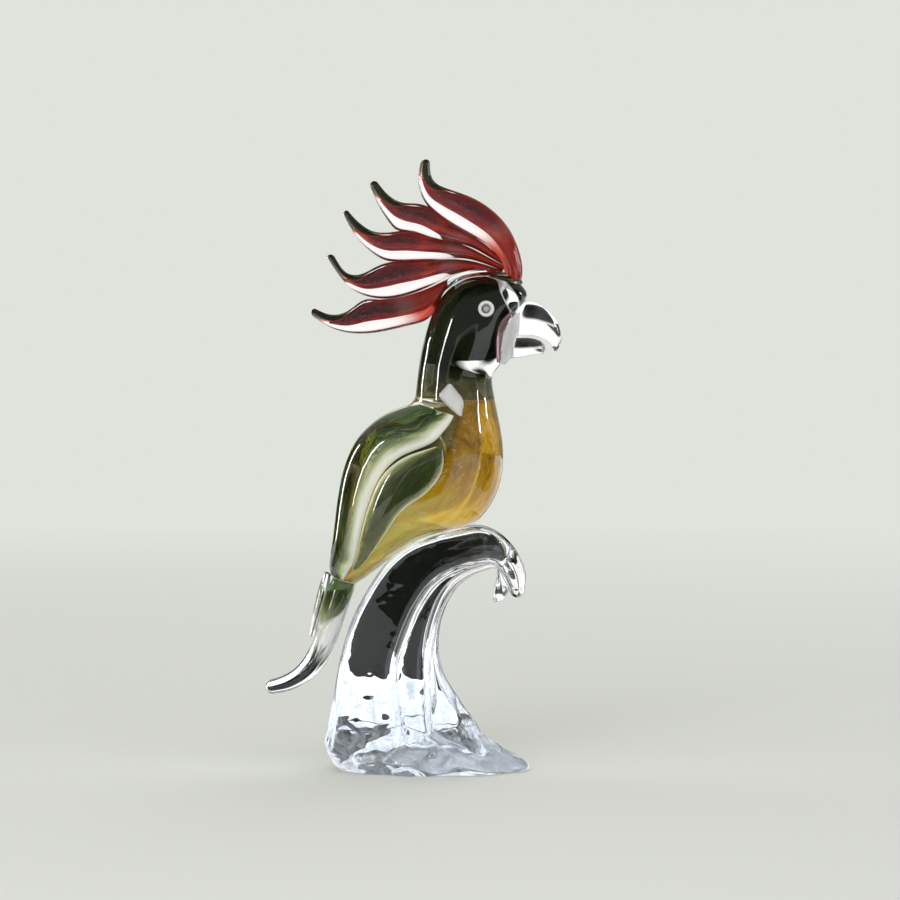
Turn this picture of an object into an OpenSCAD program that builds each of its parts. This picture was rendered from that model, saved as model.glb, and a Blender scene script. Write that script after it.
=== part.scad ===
// Hot-worked glass cockatoo on a clear wave-shaped perch.
// The bird faces +X, and the figure is symmetric about the XZ plane.
// Origin: centre of the footprint of the bounding box, on the resting face. +Z is up.
// A section row is [x, z, x, z, half depth]: the two edges of the form in side
// view, and how far it reaches to either side of the middle plane. Pieces that
// were laid on another are built on its surface, so that they meet face to face.

/* [Overall] */
// Overall height, from the resting face to the tip of the top feather
overall_h = 300; // [240:10:360]

/* [Perch] */
// Depth of the main fold of the perch
perch_depth = 49; // [40:1:56]
// Depth of the poured foot
foot_depth = 64; // [56:1:76]
// Swell of the scallops round the foot
foot_scallop = 1.6; // [0.4:0.2:2.4]
// Number of scallops round the foot
foot_scallops = 9; // [5:1:10]

/* [Bird] */
// Depth of the body across the breast
body_depth = 57; // [47:1:65]
// Depth of the head across the cheeks
head_depth = 41; // [35:1:47]
// Thickness of the clear casing over the coloured cores
casing_t = 2.4; // [1.6:0.2:3.2]
// Height of each wing's upper lobe above the flank
wing_lift = 5; // [3:0.5:7]
// Height of each wing's lower lobe above the flank
flight_lift = 2.6; // [1.6:0.2:3.4]

/* [Crest] */
// Thickness of a crest feather at its fullest
feather_t = 12; // [9:1:15]
// Clear glass over the red core of a feather
feather_skin = 1.1; // [0.8:0.1:1.4]
// Share of a feather's width that its red core takes, from the leading edge
core_share = 0.64; // [0.5:0.02:0.9]

/* [Face] */
// Diameter of each eye bead
eye_d = 8; // [6:0.5:9]
// Height of each eye bead above the cheek
eye_rise = 2.6; // [2:0.2:3.4]
// Diameter of each pupil bead
pupil_d = 4.2; // [3:0.2:4.6]
// Height of the pad of glass round the root of the beak
pad_lift = 3.6; // [2.4:0.2:4.6]
// Depth of the beak at its fullest
beak_depth = 20; // [16:1:24]

/* [Fineness] */
// Facets round the body and its cores
body_sides = 20; // [16:4:24]
// Facets round a crest feather
feather_sides = 14; // [12:2:16]

/* [Hidden] */
NOMINAL_H = 300;
NOMINAL_PERCH = 49;
NOMINAL_BODY = 57;
NOMINAL_HEAD = 41;
NOMINAL_CASING = 2.4;
NOMINAL_FEATHER = 12;
NOMINAL_BEAK = 20;
SHOULDER_Z = 180;       // the body's depth rules below this height, the head's above it
CAP_RINGS = 2;          // rings that round off an end
LOBE_SIDES = 16;        // facets round a lobe laid on a flank
LOBE_SHARE = 0.7;       // fullness of a lobe's crown, 1 for a plain ellipse
BEAK_SIDES = 16;
SMALL_SIDES = 14;

CLEAR = [0.86, 0.90, 0.90];
AMBER = [0.80, 0.62, 0.20];
OLIVE = [0.20, 0.23, 0.13];
GREEN = [0.22, 0.42, 0.20];
SAGE = [0.42, 0.50, 0.22];
RED = [0.66, 0.16, 0.16];
GREY = [0.45, 0.44, 0.44];

// ---- Section rows ----

// Body, neck and head, from the tail root up to the crown: back edge, then breast edge
BODY_ROWS = [
    [-39.5, 95, -28, 92, 8],
    [-37, 106, -17, 99.4, 14],
    [-35, 118, -6.5, 108, 20],
    [-33.5, 131, 6.5, 114.6, 24.5],
    [-31.5, 144, 19.5, 118.1, 27],
    [-28, 155, 31, 122, 28.3],
    [-22.5, 164, 39.5, 133, 28.5],
    [-14, 172, 43.6, 146, 28],
    [-5, 177.5, 44, 158, 26],
    [0.5, 182, 42.5, 169, 23],
    [1.5, 188, 40.3, 180, 20.5],
    [2.3, 195, 38.7, 189, 19.5],
    [3.5, 203, 38.6, 194.5, 19.5],
    [5, 210.5, 42, 198.5, 20],
    [7, 218, 45, 204.5, 20.5],
    [9.5, 225, 47, 212.5, 20.5],
    [13, 231.5, 49, 221, 19.5],
    [19, 238, 53.5, 228, 17],
    [27, 242, 56, 234, 13],
    [35.5, 242.8, 53, 238.3, 7.5]
];

// Amber core of the breast, from the tail root up to the ring at the foot of the neck
BREAST_CORE_ROWS = [
    [-37.4, 94.4, -30, 92.6, 5.4],
    [-34.4, 106, -19, 101.5, 11],
    [-32.4, 118.5, -8.5, 110.5, 17],
    [-30.6, 130.5, 5, 117.3, 21.5],
    [-28.5, 143, 18.4, 120.8, 24],
    [-25, 153.5, 29.5, 125, 25.3],
    [-20, 161.8, 37, 135.5, 25.5],
    [-12, 169.5, 40.8, 147.5, 25],
    [-3, 175, 41.2, 158.5, 23],
    [1.8, 179.5, 39.9, 169.5, 20],
    [3.4, 182.4, 37.8, 181.4, 18]
];

// Olive core of the neck and head, from that ring up; the throat notch keeps the jaw clear
NECK_CORE_ROWS = [
    [3.4, 182.4, 37.8, 181.4, 18],
    [3.8, 190, 36.6, 188, 17.3],
    [4.6, 195, 34.6, 193.4, 16.9],
    [5.4, 199, 25.5, 197.2, 15.6],
    [6, 202, 18, 200.4, 13.6],
    [6.8, 205, 25.5, 202.6, 15.4],
    [7.8, 208.5, 35.4, 206, 16.9],
    [9.4, 214, 39.8, 210, 17.5],
    [12, 221, 42.5, 217, 17.4],
    [15.5, 227.5, 42.5, 224, 16.4],
    [20.5, 233.5, 42, 230, 14],
    [27, 237.3, 39.5, 235, 9.5]
];

// Perch, from the foot over the top to the curl. Each row goes on with the
// shares of its width at which the two grooves between its three flutes lie
WAVE_ROWS = [
    [-41, 22, 29.5, 22, 24.5, 0.48, 0.70],
    [-40, 30, 24.5, 30.5, 24.3, 0.49, 0.745],
    [-39, 38, 20, 38, 24, 0.503, 0.788],
    [-37.6, 47, 15.5, 46, 23.6, 0.527, 0.844],
    [-35.5, 57.5, 12.6, 55.5, 23.2, 0.555, 0.885],
    [-32.5, 68, 12.3, 63, 22.8, 0.593, 0.90],
    [-28.5, 78, 13, 70.5, 22.4, 0.617, 0.91],
    [-23, 88, 14.8, 77.2, 22, 0.625, 0.91],
    [-16.5, 98, 18, 84.5, 21.6, 0.64, 0.90],
    [-8.7, 106.6, 22.5, 91, 21.2, 0.66, 0.90],
    [0.8, 112.7, 28, 95.3, 20.7, 0.69, 0.90],
    [12, 116.5, 33, 97.6, 20, 0.71, 0.90],
    [23, 118.8, 37, 99, 19, 0.73, 0.90],
    [33, 120.3, 40, 99.5, 18, 0.75, 0.90],
    [43.5, 115.8, 41.8, 98.3, 16.5, 0.77, 0.90],
    [51, 107.5, 43, 96, 14.5, 0.78, 0.91],
    [55.2, 98, 44.3, 93, 12, 0.78, 0.91],
    [54.8, 90, 46.5, 90, 9.5, 0.78, 0.91]
];
// For each flute: facets across it, share of the depth, squareness of its crown
FLUTES = [[8, 1, 4], [6, 0.87, 3], [6, 0.74, 2.4]];
FLUTE_LAP = 1.1;        // how far flutes run into each other, which sets the grooves' depth
CURL_ROUND = 1.3;       // how far the curl's rounded end reaches, against half its width

DROP_ROWS = [
    [41.4, 99.5, 43.4, 99.7, 4.5],
    [40.8, 95, 44.4, 95.4, 7],
    [40.2, 90.5, 46, 91, 7.5],
    [39, 86.5, 46.6, 87.3, 6],
    [39.5, 83.2, 43.9, 83.5, 3.8]
];

// Foot: [height, rear x, front x, share of the half depth]
FOOT_LEVELS = [
    [0, -36.5, 57, 0.94],
    [2.2, -39.5, 57.3, 0.98],
    [5, -41.3, 53, 1],
    [9, -42.4, 44.5, 0.98],
    [13, -42.5, 38.5, 0.94],
    [17.5, -41.8, 33.5, 0.88],
    [22, -41, 29.5, 0.82]
];

// Crest feathers, from root to tip: leading edge, then trailing edge
FEATHERS = [
    [
        [53, 240.5, 45.5, 242, 5],
        [53.6, 247, 43.5, 248.5, 6],
        [51.6, 256, 39.5, 255, 6.2],
        [47, 266, 33.5, 260, 6],
        [40, 274, 26.5, 263.3, 5.7],
        [31, 280.3, 18.5, 267.8, 5.2],
        [20.5, 284.4, 11, 273.3, 4.6],
        [12.5, 287.2, 4.8, 279.8, 3.8],
        [8.7, 291.5, 2.4, 289, 2.9],
        [8.1, 297.8, 3.3, 297.2, 2.3]
    ],
    [
        [44.4, 250.2, 43.2, 248.6, 2.6],
        [39, 255.4, 36, 252.8, 4],
        [32.6, 260.4, 28, 257.2, 5.3],
        [25.6, 263.9, 18, 259.6, 5.6],
        [17.5, 268.4, 8, 262, 5.4],
        [11.4, 274.8, -1, 264.4, 5],
        [3, 278.4, -8.4, 265.2, 4.5],
        [-5.6, 278.6, -12.8, 270.3, 3.8],
        [-12.5, 282.6, -17.5, 278, 2.9],
        [-17.2, 288.2, -21, 286.2, 2.2]
    ],
    [
        [44.2, 248, 43.8, 245.4, 2.8],
        [34.6, 253.2, 33, 249.6, 4.2],
        [26, 257.6, 24, 251.6, 5.4],
        [15, 260.8, 14, 251.2, 5.6],
        [5, 262.9, 5, 250.3, 5.3],
        [-3.6, 265.3, -4.5, 249.7, 5],
        [-11.4, 264.2, -14, 250.4, 4.4],
        [-20, 264.6, -22, 255.7, 3.7],
        [-27, 269.3, -29, 263.2, 2.8],
        [-31.6, 274.3, -34, 272.3, 2.1]
    ],
    [
        [43.6, 245.6, 41, 242.6, 3],
        [31, 249.8, 28.5, 245, 4.6],
        [20, 251.2, 18.5, 243.4, 5.6],
        [10, 250.8, 11.5, 239.6, 5.5],
        [0, 250, 4, 236, 5.2],
        [-9, 250.2, -4, 233.2, 4.8],
        [-17.4, 248, -13.5, 231.6, 4.3],
        [-26, 243.4, -24, 233.2, 3.6],
        [-33.4, 244.5, -33.8, 239.3, 2.7],
        [-38.6, 252.3, -42, 251.4, 2.1]
    ],
    [
        [17.4, 241.6, 15.4, 235.4, 3.4],
        [13, 239.6, 12.6, 230.5, 5],
        [8.5, 237.4, 9.4, 224, 5.5],
        [2, 234.9, 4.5, 220.3, 5.3],
        [-7, 232.4, -3, 218.5, 5],
        [-16, 231.4, -12, 216.3, 4.6],
        [-24.4, 231.6, -22, 214.7, 4],
        [-33, 225, -32, 215, 3.2],
        [-41, 223.8, -41, 217.7, 2.4],
        [-47.6, 226.6, -49, 222.8, 1.9]
    ]
];
CORE_LAST = 8;          // row at which a red core stops short of the clear tip
CORE_THIN = 0.84;       // depth of a red core against that of the feather less its skin
INSET_MOST = 0.4;       // most of a row's half width that an inset may take

// Clear fillet between the crown and the crest
CREST_ROOT_ROWS = [
    [12.5, 237, 13.4, 233.6, 3],
    [17.5, 242.2, 19, 238.4, 5],
    [24, 245, 25.4, 241.6, 6],
    [32, 246.4, 33, 243, 6.2],
    [40, 246, 40, 242.4, 5.6],
    [45.6, 244.6, 45, 240.8, 4]
];

TAIL_LONG_ROWS = [
    [-39.5, 95, -28, 92, 8],
    [-41.4, 87, -31.5, 82.5, 8.4],
    [-43.8, 79.5, -34.5, 73, 8.2],
    [-46.6, 71.5, -37.8, 63, 7.6],
    [-50, 62.5, -41.6, 54.5, 6.8],
    [-54, 54.8, -46.3, 47.8, 6],
    [-58.5, 49.4, -52.5, 42.8, 5.1],
    [-64.4, 45.8, -60.6, 38.6, 4.2],
    [-70.4, 43.9, -69.2, 37, 3.2]
];
TAIL_SHORT_ROWS = [
    [-44, 97, -40.3, 95.4, 4],
    [-46.6, 90, -41.2, 88, 6.5],
    [-48.5, 82.5, -43.2, 80.5, 6.6],
    [-50.3, 74.5, -46, 73, 5.6],
    [-51.4, 67, -48.8, 66.2, 3.8]
];

// Lobes: [row of the form below, start angle, end angle, share of the lift],
// where angles are counted round the section from its back edge
COVERT_SPAN = [
    [0.05, 12, 82, 0.25],
    [0.4, 8, 80, 0.75],
    [1, 6, 80, 0.95],
    [2, 5, 68, 1],
    [3, 5, 61, 1.05],
    [4, 5, 58, 1.05],
    [5, 5, 57, 1.05],
    [6, 5, 62, 1.05],
    [7, 6, 78, 1.05],
    [7.7, 9, 81, 0.9],
    [8.4, 18, 84, 0.7],
    [8.9, 34, 86, 0.4]
];
FLIGHT_SPAN = [
    [0.7, 85, 98, 0.3],
    [1.2, 78, 104, 0.75],
    [2, 69, 103, 1],
    [3, 62, 97, 1],
    [4, 59, 93, 1],
    [5, 58, 97, 1],
    [6, 65, 99, 0.95],
    [6.6, 75, 95, 0.65],
    [7, 83, 89, 0.3]
];
TAB_SPAN = [
    [9.02, 90, 97, 0.4],
    [9.35, 77, 99, 0.8],
    [9.75, 64, 102, 1],
    [10.1, 66, 100, 1],
    [10.45, 73, 92, 0.8],
    [10.75, 79, 85, 0.4]
];
TAIL_GREEN_SPAN = [
    [0.05, 16, 146, 0.3],
    [0.7, 14, 146, 0.95],
    [1.6, 14, 122, 1],
    [2.3, 18, 84, 0.9],
    [3.1, 28, 56, 0.5]
];
PAD_SPAN = [
    [13.3, 152, 208, 0.5],
    [13.9, 140, 220, 0.9],
    [14.6, 133, 227, 1.05],
    [15.3, 131, 229, 1.1],
    [16, 135, 225, 1.05],
    [16.5, 145, 215, 0.7]
];
TAB_LIFT = 4;
TAIL_GREEN_LIFT = 3;

// Beak, from its root to its tip: top edge, then bottom edge
BEAK_UPPER_ROWS = [
    [52, 229, 50.5, 214, 9],
    [56.5, 230.9, 53.6, 213.8, 10],
    [62, 229.2, 58, 213.8, 9.7],
    [67.3, 225.2, 62, 212.8, 8.6],
    [71.4, 219.4, 65.6, 210.6, 6.8],
    [72.9, 212.6, 68, 208.2, 4.8],
    [71.9, 208.4, 69, 206.8, 3]
];
BEAK_LOWER_ROWS = [
    [49.4, 213.4, 47.4, 202.6, 7],
    [53, 213.2, 52.4, 203, 7.4],
    [58, 212.8, 58.5, 204.2, 6.6],
    [62.4, 211, 63.4, 204.8, 5]
];

EYE_X = 35.5;
EYE_Z = 227;
EYE_ROW = 16.1;         // body row at the eye, which gives the cheek's depth there
EYE_SINK = 0.3;         // how far the bead's back goes into the cheek
PUPIL_DEPTH = 1.2;      // depth of the pupil's seat in the eye bead
PUPIL_RISE = 0.6;       // the pupil's crown above its seat's mouth

// ---- Shape functions ----

function last(list) = len(list) - 1;
function backwards(list) = [for (i = [last(list) : -1 : 0]) list[i]];
function slice(rows, first, final) = [for (i = [first : final]) rows[i]];

// Smooth curve from b to c at share t, shaped by the neighbours a and d
function between(a, b, c, d, t) =
    (2 * b + (c - a) * t + (2 * a - 5 * b + 4 * c - d) * t * t + (3 * b - a - 3 * c + d) * t * t * t) / 2;

// Row of a list at a fractional index
function row_at(rows, s) =
    let (i = min(floor(s), last(rows) - 1))
    between(rows[max(i - 1, 0)], rows[i], rows[i + 1], rows[min(i + 2, last(rows))], s - i);

// The rows with others faired in between
function fair(rows, steps) = [for (k = [0 : last(rows) * steps]) row_at(rows, k / steps)];

function centre(row) = [row[0] + row[2], row[1] + row[3]] / 2;
function reach(row) = [row[2] - row[0], row[3] - row[1]] / 2;
function deepen(rows, share) = [for (r = rows) [for (i = [0 : last(r)]) i == 4 ? r[i] * share : r[i]]];

// The row drawn in by a wall on every side, less where it is too narrow for that
function inset(row, wall) =
    let (r = reach(row), step = r * min(wall / norm(r), INSET_MOST))
    [row[0] + step[0], row[1] + step[1], row[2] - step[0], row[3] - step[1], row[4] - wall];

// The row kept to a share of its width from its first edge, and thinned to stay inside the form
function to_lead(row, share) =
    let (r = reach(row) * 2 * share)
    [row[0], row[1], row[0] + r[0], row[1] + r[1], row[4] * CORE_THIN];

// One closed ring of n points round a row, shrunk, and moved along the spine by shift
function ring(row, n, shrink = 1, shift = [0, 0]) =
    let (c = centre(row) + shift, r = reach(row) * shrink)
    [for (j = [0 : n - 1])
        let (a = 360 * j / n)
        [c[0] - r[0] * cos(a), row[4] * shrink * sin(a), c[1] - r[1] * cos(a)]];

function rings(rows, n, steps) = [for (row = fair(rows, steps)) ring(row, n)];

// Rounded end: shrinking rings past a row, going away from its neighbour
function end_rings(row, neighbour, n, round) =
    let (way = centre(row) - centre(neighbour), unit = way / norm(way), far = norm(reach(row)) * round)
    [for (k = [1 : CAP_RINGS])
        let (a = 90 * k / (CAP_RINGS + 0.5))
        ring(row, n, cos(a), unit * far * sin(a))];

// Rings through the rows with rounded ends; a round of 0 leaves that end flat
function stack(rows, n, steps, round_start, round_end) =
    let (r = fair(rows, steps))
    concat(
        round_start > 0 ? backwards(end_rings(r[0], r[1], n, round_start)) : [],
        [for (row = r) ring(row, n)],
        round_end > 0 ? end_rings(r[last(r)], r[last(r) - 1], n, round_end) : []
    );

// Middle of a ring of points
function middle(loop) = [for (k = [0 : 2]) ([for (p = loop) p[k]] * [for (p = loop) 1]) / len(loop)];

// Triangles that join m + 1 rings of n points, and those that close a ring onto a pole
function walls(first, m, n) =
    [for (i = [0 : m - 1], j = [0 : n - 1])
        let (a = first + i * n + j, b = first + i * n + (j + 1) % n)
        each [[a, b + n, b], [a, a + n, b + n]]];
function fan(first, pole, n) = [for (j = [0 : n - 1]) [pole, first + j, first + (j + 1) % n]];
function flipped(faces) = [for (f = faces) [f[0], f[2], f[1]]];

// Closed solid over a stack of rings
module skin(loops) {
    n = len(loops[0]);
    m = last(loops);
    pole = n * (m + 1);
    polyhedron(
        [for (loop = loops) each loop, middle(loops[0]), middle(loops[m])],
        concat(walls(0, m, n), fan(0, pole, n), flipped(fan(m * n, pole + 1, n)))
    );
}

// Cup: an outer stack of rings over an inner one that opens at the outer one's start
module cup(outer, inner) {
    n = len(outer[0]);
    m = last(outer);
    k = last(inner);
    bore = n * (m + 1);
    pole = bore + n * (k + 1);
    mouth = [for (j = [0 : n - 1])
        let (a = j, b = (j + 1) % n)
        each [[a, b, bore + b], [a, bore + b, bore + a]]];
    polyhedron(
        [for (loop = outer) each loop, for (loop = inner) each loop, middle(outer[m]), middle(inner[k])],
        concat(
            walls(0, m, n), flipped(fan(m * n, pole, n)),
            flipped(walls(bore, k, n)), fan(bore + k * n, pole + 1, n), mouth
        )
    );
}

// Solid through the rows
module form(rows, n, steps = 2, round_start = 0.6, round_end = 0.6)
    skin(stack(rows, n, steps, round_start, round_end));

// Point on a form's flank at an angle from its back edge, lifted off it square to the section
function flank(row, angle, lift) =
    let (
        c = centre(row), r = reach(row), w = norm(r),
        out = [cos(angle) / w, sin(angle) / row[4]], step = out * (lift / norm(out)),
        along = -w * cos(angle) - step[0]
    )
    [c[0] + r[0] * along / w, row[4] * sin(angle) + step[1], c[1] + r[1] * along / w];

// Ring of a lobe: out over its crown, then back along the flank below
function lobe_ring(row, span, lift) =
    let (half = LOBE_SIDES / 2)
    [for (j = [0 : LOBE_SIDES - 1])
        let (
            a = 180 * j / half,
            angle = (span[1] + span[2]) / 2 - (span[2] - span[1]) / 2 * cos(a),
            rise = j < half ? pow(max(sin(a), 0), LOBE_SHARE) : 0
        )
        flank(row, angle, lift * span[3] * rise)];

module lobe(below, spans, lift)
    skin([for (s = fair(spans, 2)) lobe_ring(row_at(below, s[0]), s, lift)]);

// Height of one flute of the perch at a share of the width, 0 outside it
function flute_height(t, row, from, to, flute) =
    let (mid = (from + to) / 2, half = (to - from) / 2 * FLUTE_LAP, off = abs(t - mid) / half, square = flute[2])
    off < 1 ? row[4] * flute[1] * pow(1 - pow(off, square), 1 / square) : 0;

// Shares of the width at which a section of the perch has its points
function flute_shares(row) =
    let (edges = [0, row[5], row[6], 1])
    [
        for (i = [0 : 2], k = [0 : FLUTES[i][0] - 1])
            edges[i] + (edges[i + 1] - edges[i]) * (1 - cos(180 * k / FLUTES[i][0])) / 2,
        1
    ];

// Half depth of the perch at a share of its width: the tallest of its flutes there, rounded off at the edges
function wave_depth(row, t) =
    let (edges = [0, row[5], row[6], 1], ends = min(1, 7 * min(t, 1 - t)))
    t <= 0 || t >= 1 ? 0 :
    sqrt(ends) * max([for (i = [0 : 2]) flute_height(t, row, edges[i], edges[i + 1], FLUTES[i])]);

// Fluted ring of the perch: over one side from the outer edge to the inner, back over the other
function wave_ring(row, shrink = 1, shift = [0, 0]) =
    let (
        shares = flute_shares(row), top = last(shares), c = centre(row) + shift, r = reach(row) * shrink,
        side = [for (t = shares) let (u = 2 * t - 1) [c[0] + r[0] * u, wave_depth(row, t) * shrink, c[1] + r[1] * u]]
    )
    [for (p = side) p, for (i = [top - 1 : -1 : 1]) [side[i][0], -side[i][1], side[i][2]]];

function wave_rows() = deepen(WAVE_ROWS, perch_depth / NOMINAL_PERCH);

// Level of the foot: scalloped at the floor, drawn up to the perch's first ring at the top
function foot_ring(level) =
    let (
        base = wave_rows()[0], top = wave_ring(base), n = len(top),
        mid = (level[1] + level[2]) / 2, half_x = (level[2] - level[1]) / 2,
        rise = level[0] / base[1], flow = rise * rise * (3 - 2 * rise),
        stretch = 2 * half_x / (base[2] - base[0]), fade = foot_scallop * (1 - flow)
    )
    [for (j = [0 : n - 1])
        let (
            a = 360 * j / n, swell = fade * (cos(foot_scallops * a) - 1),
            plain = [mid - half_x * cos(a), (level[3] * foot_depth / 2 + swell) * sin(a)],
            drawn = [level[1] + (top[j][0] - base[0]) * stretch, top[j][1]]
        )
        [each plain * (1 - flow) + drawn * flow, level[0]]];

module other_side() mirror([0, 1, 0]) children();
module at_size() scale(overall_h / NOMINAL_H) children();

// ---- Rows at their set depth ----

function depth_share(z) = z < SHOULDER_Z ? body_depth / NOMINAL_BODY : head_depth / NOMINAL_HEAD;
function to_depth(rows) = [for (r = rows) [r[0], r[1], r[2], r[3], r[4] * depth_share(r[1])]];
function body_rows() = to_depth(BODY_ROWS);
function core_rows(rows) = [for (r = to_depth(rows)) inset(r, casing_t - NOMINAL_CASING)];
function feather_rows(i) = deepen(FEATHERS[i], feather_t / NOMINAL_FEATHER);
function feather_core_rows(i) =
    [for (r = slice(feather_rows(i), 0, CORE_LAST)) to_lead(inset(r, feather_skin), core_share)];
function beak_rows(rows) = deepen(rows, beak_depth / NOMINAL_BEAK);

function breast_rings() = rings(core_rows(BREAST_CORE_ROWS), body_sides, 1);
function neck_rings() = stack(core_rows(NECK_CORE_ROWS), body_sides, 1, 0, 0.4);
function feather_core_rings(i) = stack(feather_core_rows(i), feather_sides, 1, 0, 0.8);

// ---- Sub-parts ----

module perch_foot() color(CLEAR) at_size() skin([for (level = FOOT_LEVELS) foot_ring(level)]);

module perch_wave() color(CLEAR) at_size() {
    r = fair(wave_rows(), 2);
    end = r[last(r)];
    way = centre(end) - centre(r[last(r) - 1]);
    far = norm(reach(end)) * CURL_ROUND / norm(way);
    skin([
        for (row = r) wave_ring(row),
        for (k = [1 : CAP_RINGS])
            let (a = 90 * k / (CAP_RINGS + 0.5))
            wave_ring(end, cos(a), way * far * sin(a))
    ]);
}

module perch_curl_drop() color(CLEAR) at_size() form(DROP_ROWS, SMALL_SIDES, 2, 0.3, 0.6);

module bird_casing() color(CLEAR, 0.4) at_size() cup(
    stack(body_rows(), body_sides, 2, 0, 0.5),
    concat(breast_rings(), slice(neck_rings(), 1, last(neck_rings())))
);

module breast_core() color(AMBER) at_size() skin(breast_rings());
module neck_core() color(OLIVE) at_size() skin(neck_rings());

module wing_covert() color(GREEN) at_size() lobe(body_rows(), COVERT_SPAN, wing_lift);
module wing_flight() color(SAGE) at_size() lobe(body_rows(), FLIGHT_SPAN, flight_lift);
module shoulder_tab() color(CLEAR) at_size() lobe(body_rows(), TAB_SPAN, TAB_LIFT);

module tail_feather_long() color(CLEAR) at_size() form(TAIL_LONG_ROWS, body_sides, 2, 0, 0.9);
module tail_feather_short() color(CLEAR) at_size() form(TAIL_SHORT_ROWS, SMALL_SIDES, 2, 0.4, 1);
module tail_feather_green() color(SAGE) at_size() lobe(TAIL_LONG_ROWS, TAIL_GREEN_SPAN, TAIL_GREEN_LIFT);

module crest_root() color(CLEAR) at_size()
    form(deepen(CREST_ROOT_ROWS, feather_t / NOMINAL_FEATHER), SMALL_SIDES, 2, 0.5, 0.5);
module crest_feather(i) color(RED, 0.6) at_size()
    cup(stack(feather_rows(i), feather_sides, 2, 0, 1), feather_core_rings(i));
module crest_core(i) color(RED) at_size() skin(feather_core_rings(i));

module face_pad() color(CLEAR) at_size() lobe(body_rows(), PAD_SPAN, pad_lift);
module beak_upper() color(CLEAR) at_size() form(beak_rows(BEAK_UPPER_ROWS), BEAK_SIDES, 2, 0, 0.8);
module beak_lower() color(CLEAR) at_size() form(beak_rows(BEAK_LOWER_ROWS), SMALL_SIDES, 2, 0, 0.6);

// Turns a bead made along +Z to lie on the left cheek, its back at the cheek's surface
module on_cheek() {
    row = row_at(body_rows(), EYE_ROW);
    off = norm([EYE_X, EYE_Z] - centre(row)) / norm(reach(row));
    translate([EYE_X, row[4] * sqrt(1 - off * off) - EYE_SINK, EYE_Z]) rotate([-90, 0, 0]) children();
}

// Outline of a domed bead: flat back, crown as an elliptical arc
function dome(radius, rise, low) = [[0, low], for (a = [0 : 10 : 90]) [radius * cos(a), rise * sin(a)]];

module eye() color(CLEAR) at_size() on_cheek() difference() {
    rotate_extrude($fn = 40) polygon(dome(eye_d / 2, eye_rise, 0));
    translate([0, 0, eye_rise - PUPIL_DEPTH]) cylinder(d = pupil_d, h = 2 * PUPIL_DEPTH, $fn = 32);
}

module pupil() color(GREY) at_size() on_cheek() translate([0, 0, eye_rise - PUPIL_DEPTH]) {
    cylinder(d = pupil_d, h = PUPIL_DEPTH / 2, $fn = 32);
    translate([0, 0, PUPIL_DEPTH / 2])
        rotate_extrude($fn = 32) polygon(dome(pupil_d / 2, PUPIL_DEPTH / 2 + PUPIL_RISE, 0));
}

perch_foot();
perch_wave();
perch_curl_drop();
bird_casing();
breast_core();
neck_core();
wing_covert();  // wing_covert_left
other_side() wing_covert();  // wing_covert_right
wing_flight();  // wing_flight_left
other_side() wing_flight();  // wing_flight_right
shoulder_tab();  // shoulder_tab_left
other_side() shoulder_tab();  // shoulder_tab_right
tail_feather_long();
tail_feather_short();
tail_feather_green();  // tail_feather_green_left
other_side() tail_feather_green();  // tail_feather_green_right
crest_root();
crest_feather(0);  // crest_feather_1
crest_feather(1);  // crest_feather_2
crest_feather(2);  // crest_feather_3
crest_feather(3);  // crest_feather_4
crest_feather(4);  // crest_feather_5
crest_core(0);  // crest_core_1
crest_core(1);  // crest_core_2
crest_core(2);  // crest_core_3
crest_core(3);  // crest_core_4
crest_core(4);  // crest_core_5
face_pad();
beak_upper();
beak_lower();
eye();  // eye_left
other_side() eye();  // eye_right
pupil();  // pupil_left
other_side() pupil();  // pupil_right
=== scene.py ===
"""Looks of a hot-worked glass cockatoo on a clear wave-shaped perch.

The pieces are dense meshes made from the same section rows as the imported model. Rows are in
the design's millimetres, and MM turns them into the frame's metres. A section row is
[x, z, x, z, half depth]: the two edges of a form in side view, and its reach to either side.
"""
import math

import bpy
import numpy as np
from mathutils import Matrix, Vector


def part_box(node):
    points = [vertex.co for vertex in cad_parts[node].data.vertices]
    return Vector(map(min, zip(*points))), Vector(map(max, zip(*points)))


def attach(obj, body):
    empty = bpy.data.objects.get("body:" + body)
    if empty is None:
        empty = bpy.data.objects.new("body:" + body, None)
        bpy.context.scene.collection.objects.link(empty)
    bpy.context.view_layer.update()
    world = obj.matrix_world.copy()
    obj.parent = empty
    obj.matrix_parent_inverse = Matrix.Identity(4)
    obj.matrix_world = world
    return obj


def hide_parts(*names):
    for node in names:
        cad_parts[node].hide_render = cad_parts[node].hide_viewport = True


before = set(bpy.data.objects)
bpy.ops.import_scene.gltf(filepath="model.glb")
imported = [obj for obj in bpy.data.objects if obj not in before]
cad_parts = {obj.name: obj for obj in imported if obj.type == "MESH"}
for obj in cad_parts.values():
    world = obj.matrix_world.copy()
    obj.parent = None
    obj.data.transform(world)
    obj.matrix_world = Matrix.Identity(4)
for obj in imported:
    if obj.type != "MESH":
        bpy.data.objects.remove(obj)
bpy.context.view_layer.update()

# ---- Sizes taken from the frame ----

FOOT_TOP = 22.0                                     # height of the foot's top in the design
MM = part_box("perch_foot")[1].z / FOOT_TOP           # metres in one of the design's millimetres
PERCH_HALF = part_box("perch_wave")[1].y / MM
FOOT_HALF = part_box("perch_foot")[1].y / MM
BODY_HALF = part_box("bird_casing")[1].y / MM
FEATHER_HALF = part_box("crest_feather_1")[1].y / MM
BEAK_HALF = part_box("beak_upper")[1].y / MM
EYE_BOX = [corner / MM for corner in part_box("eye_left")]

# ---- Section rows ----

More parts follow.
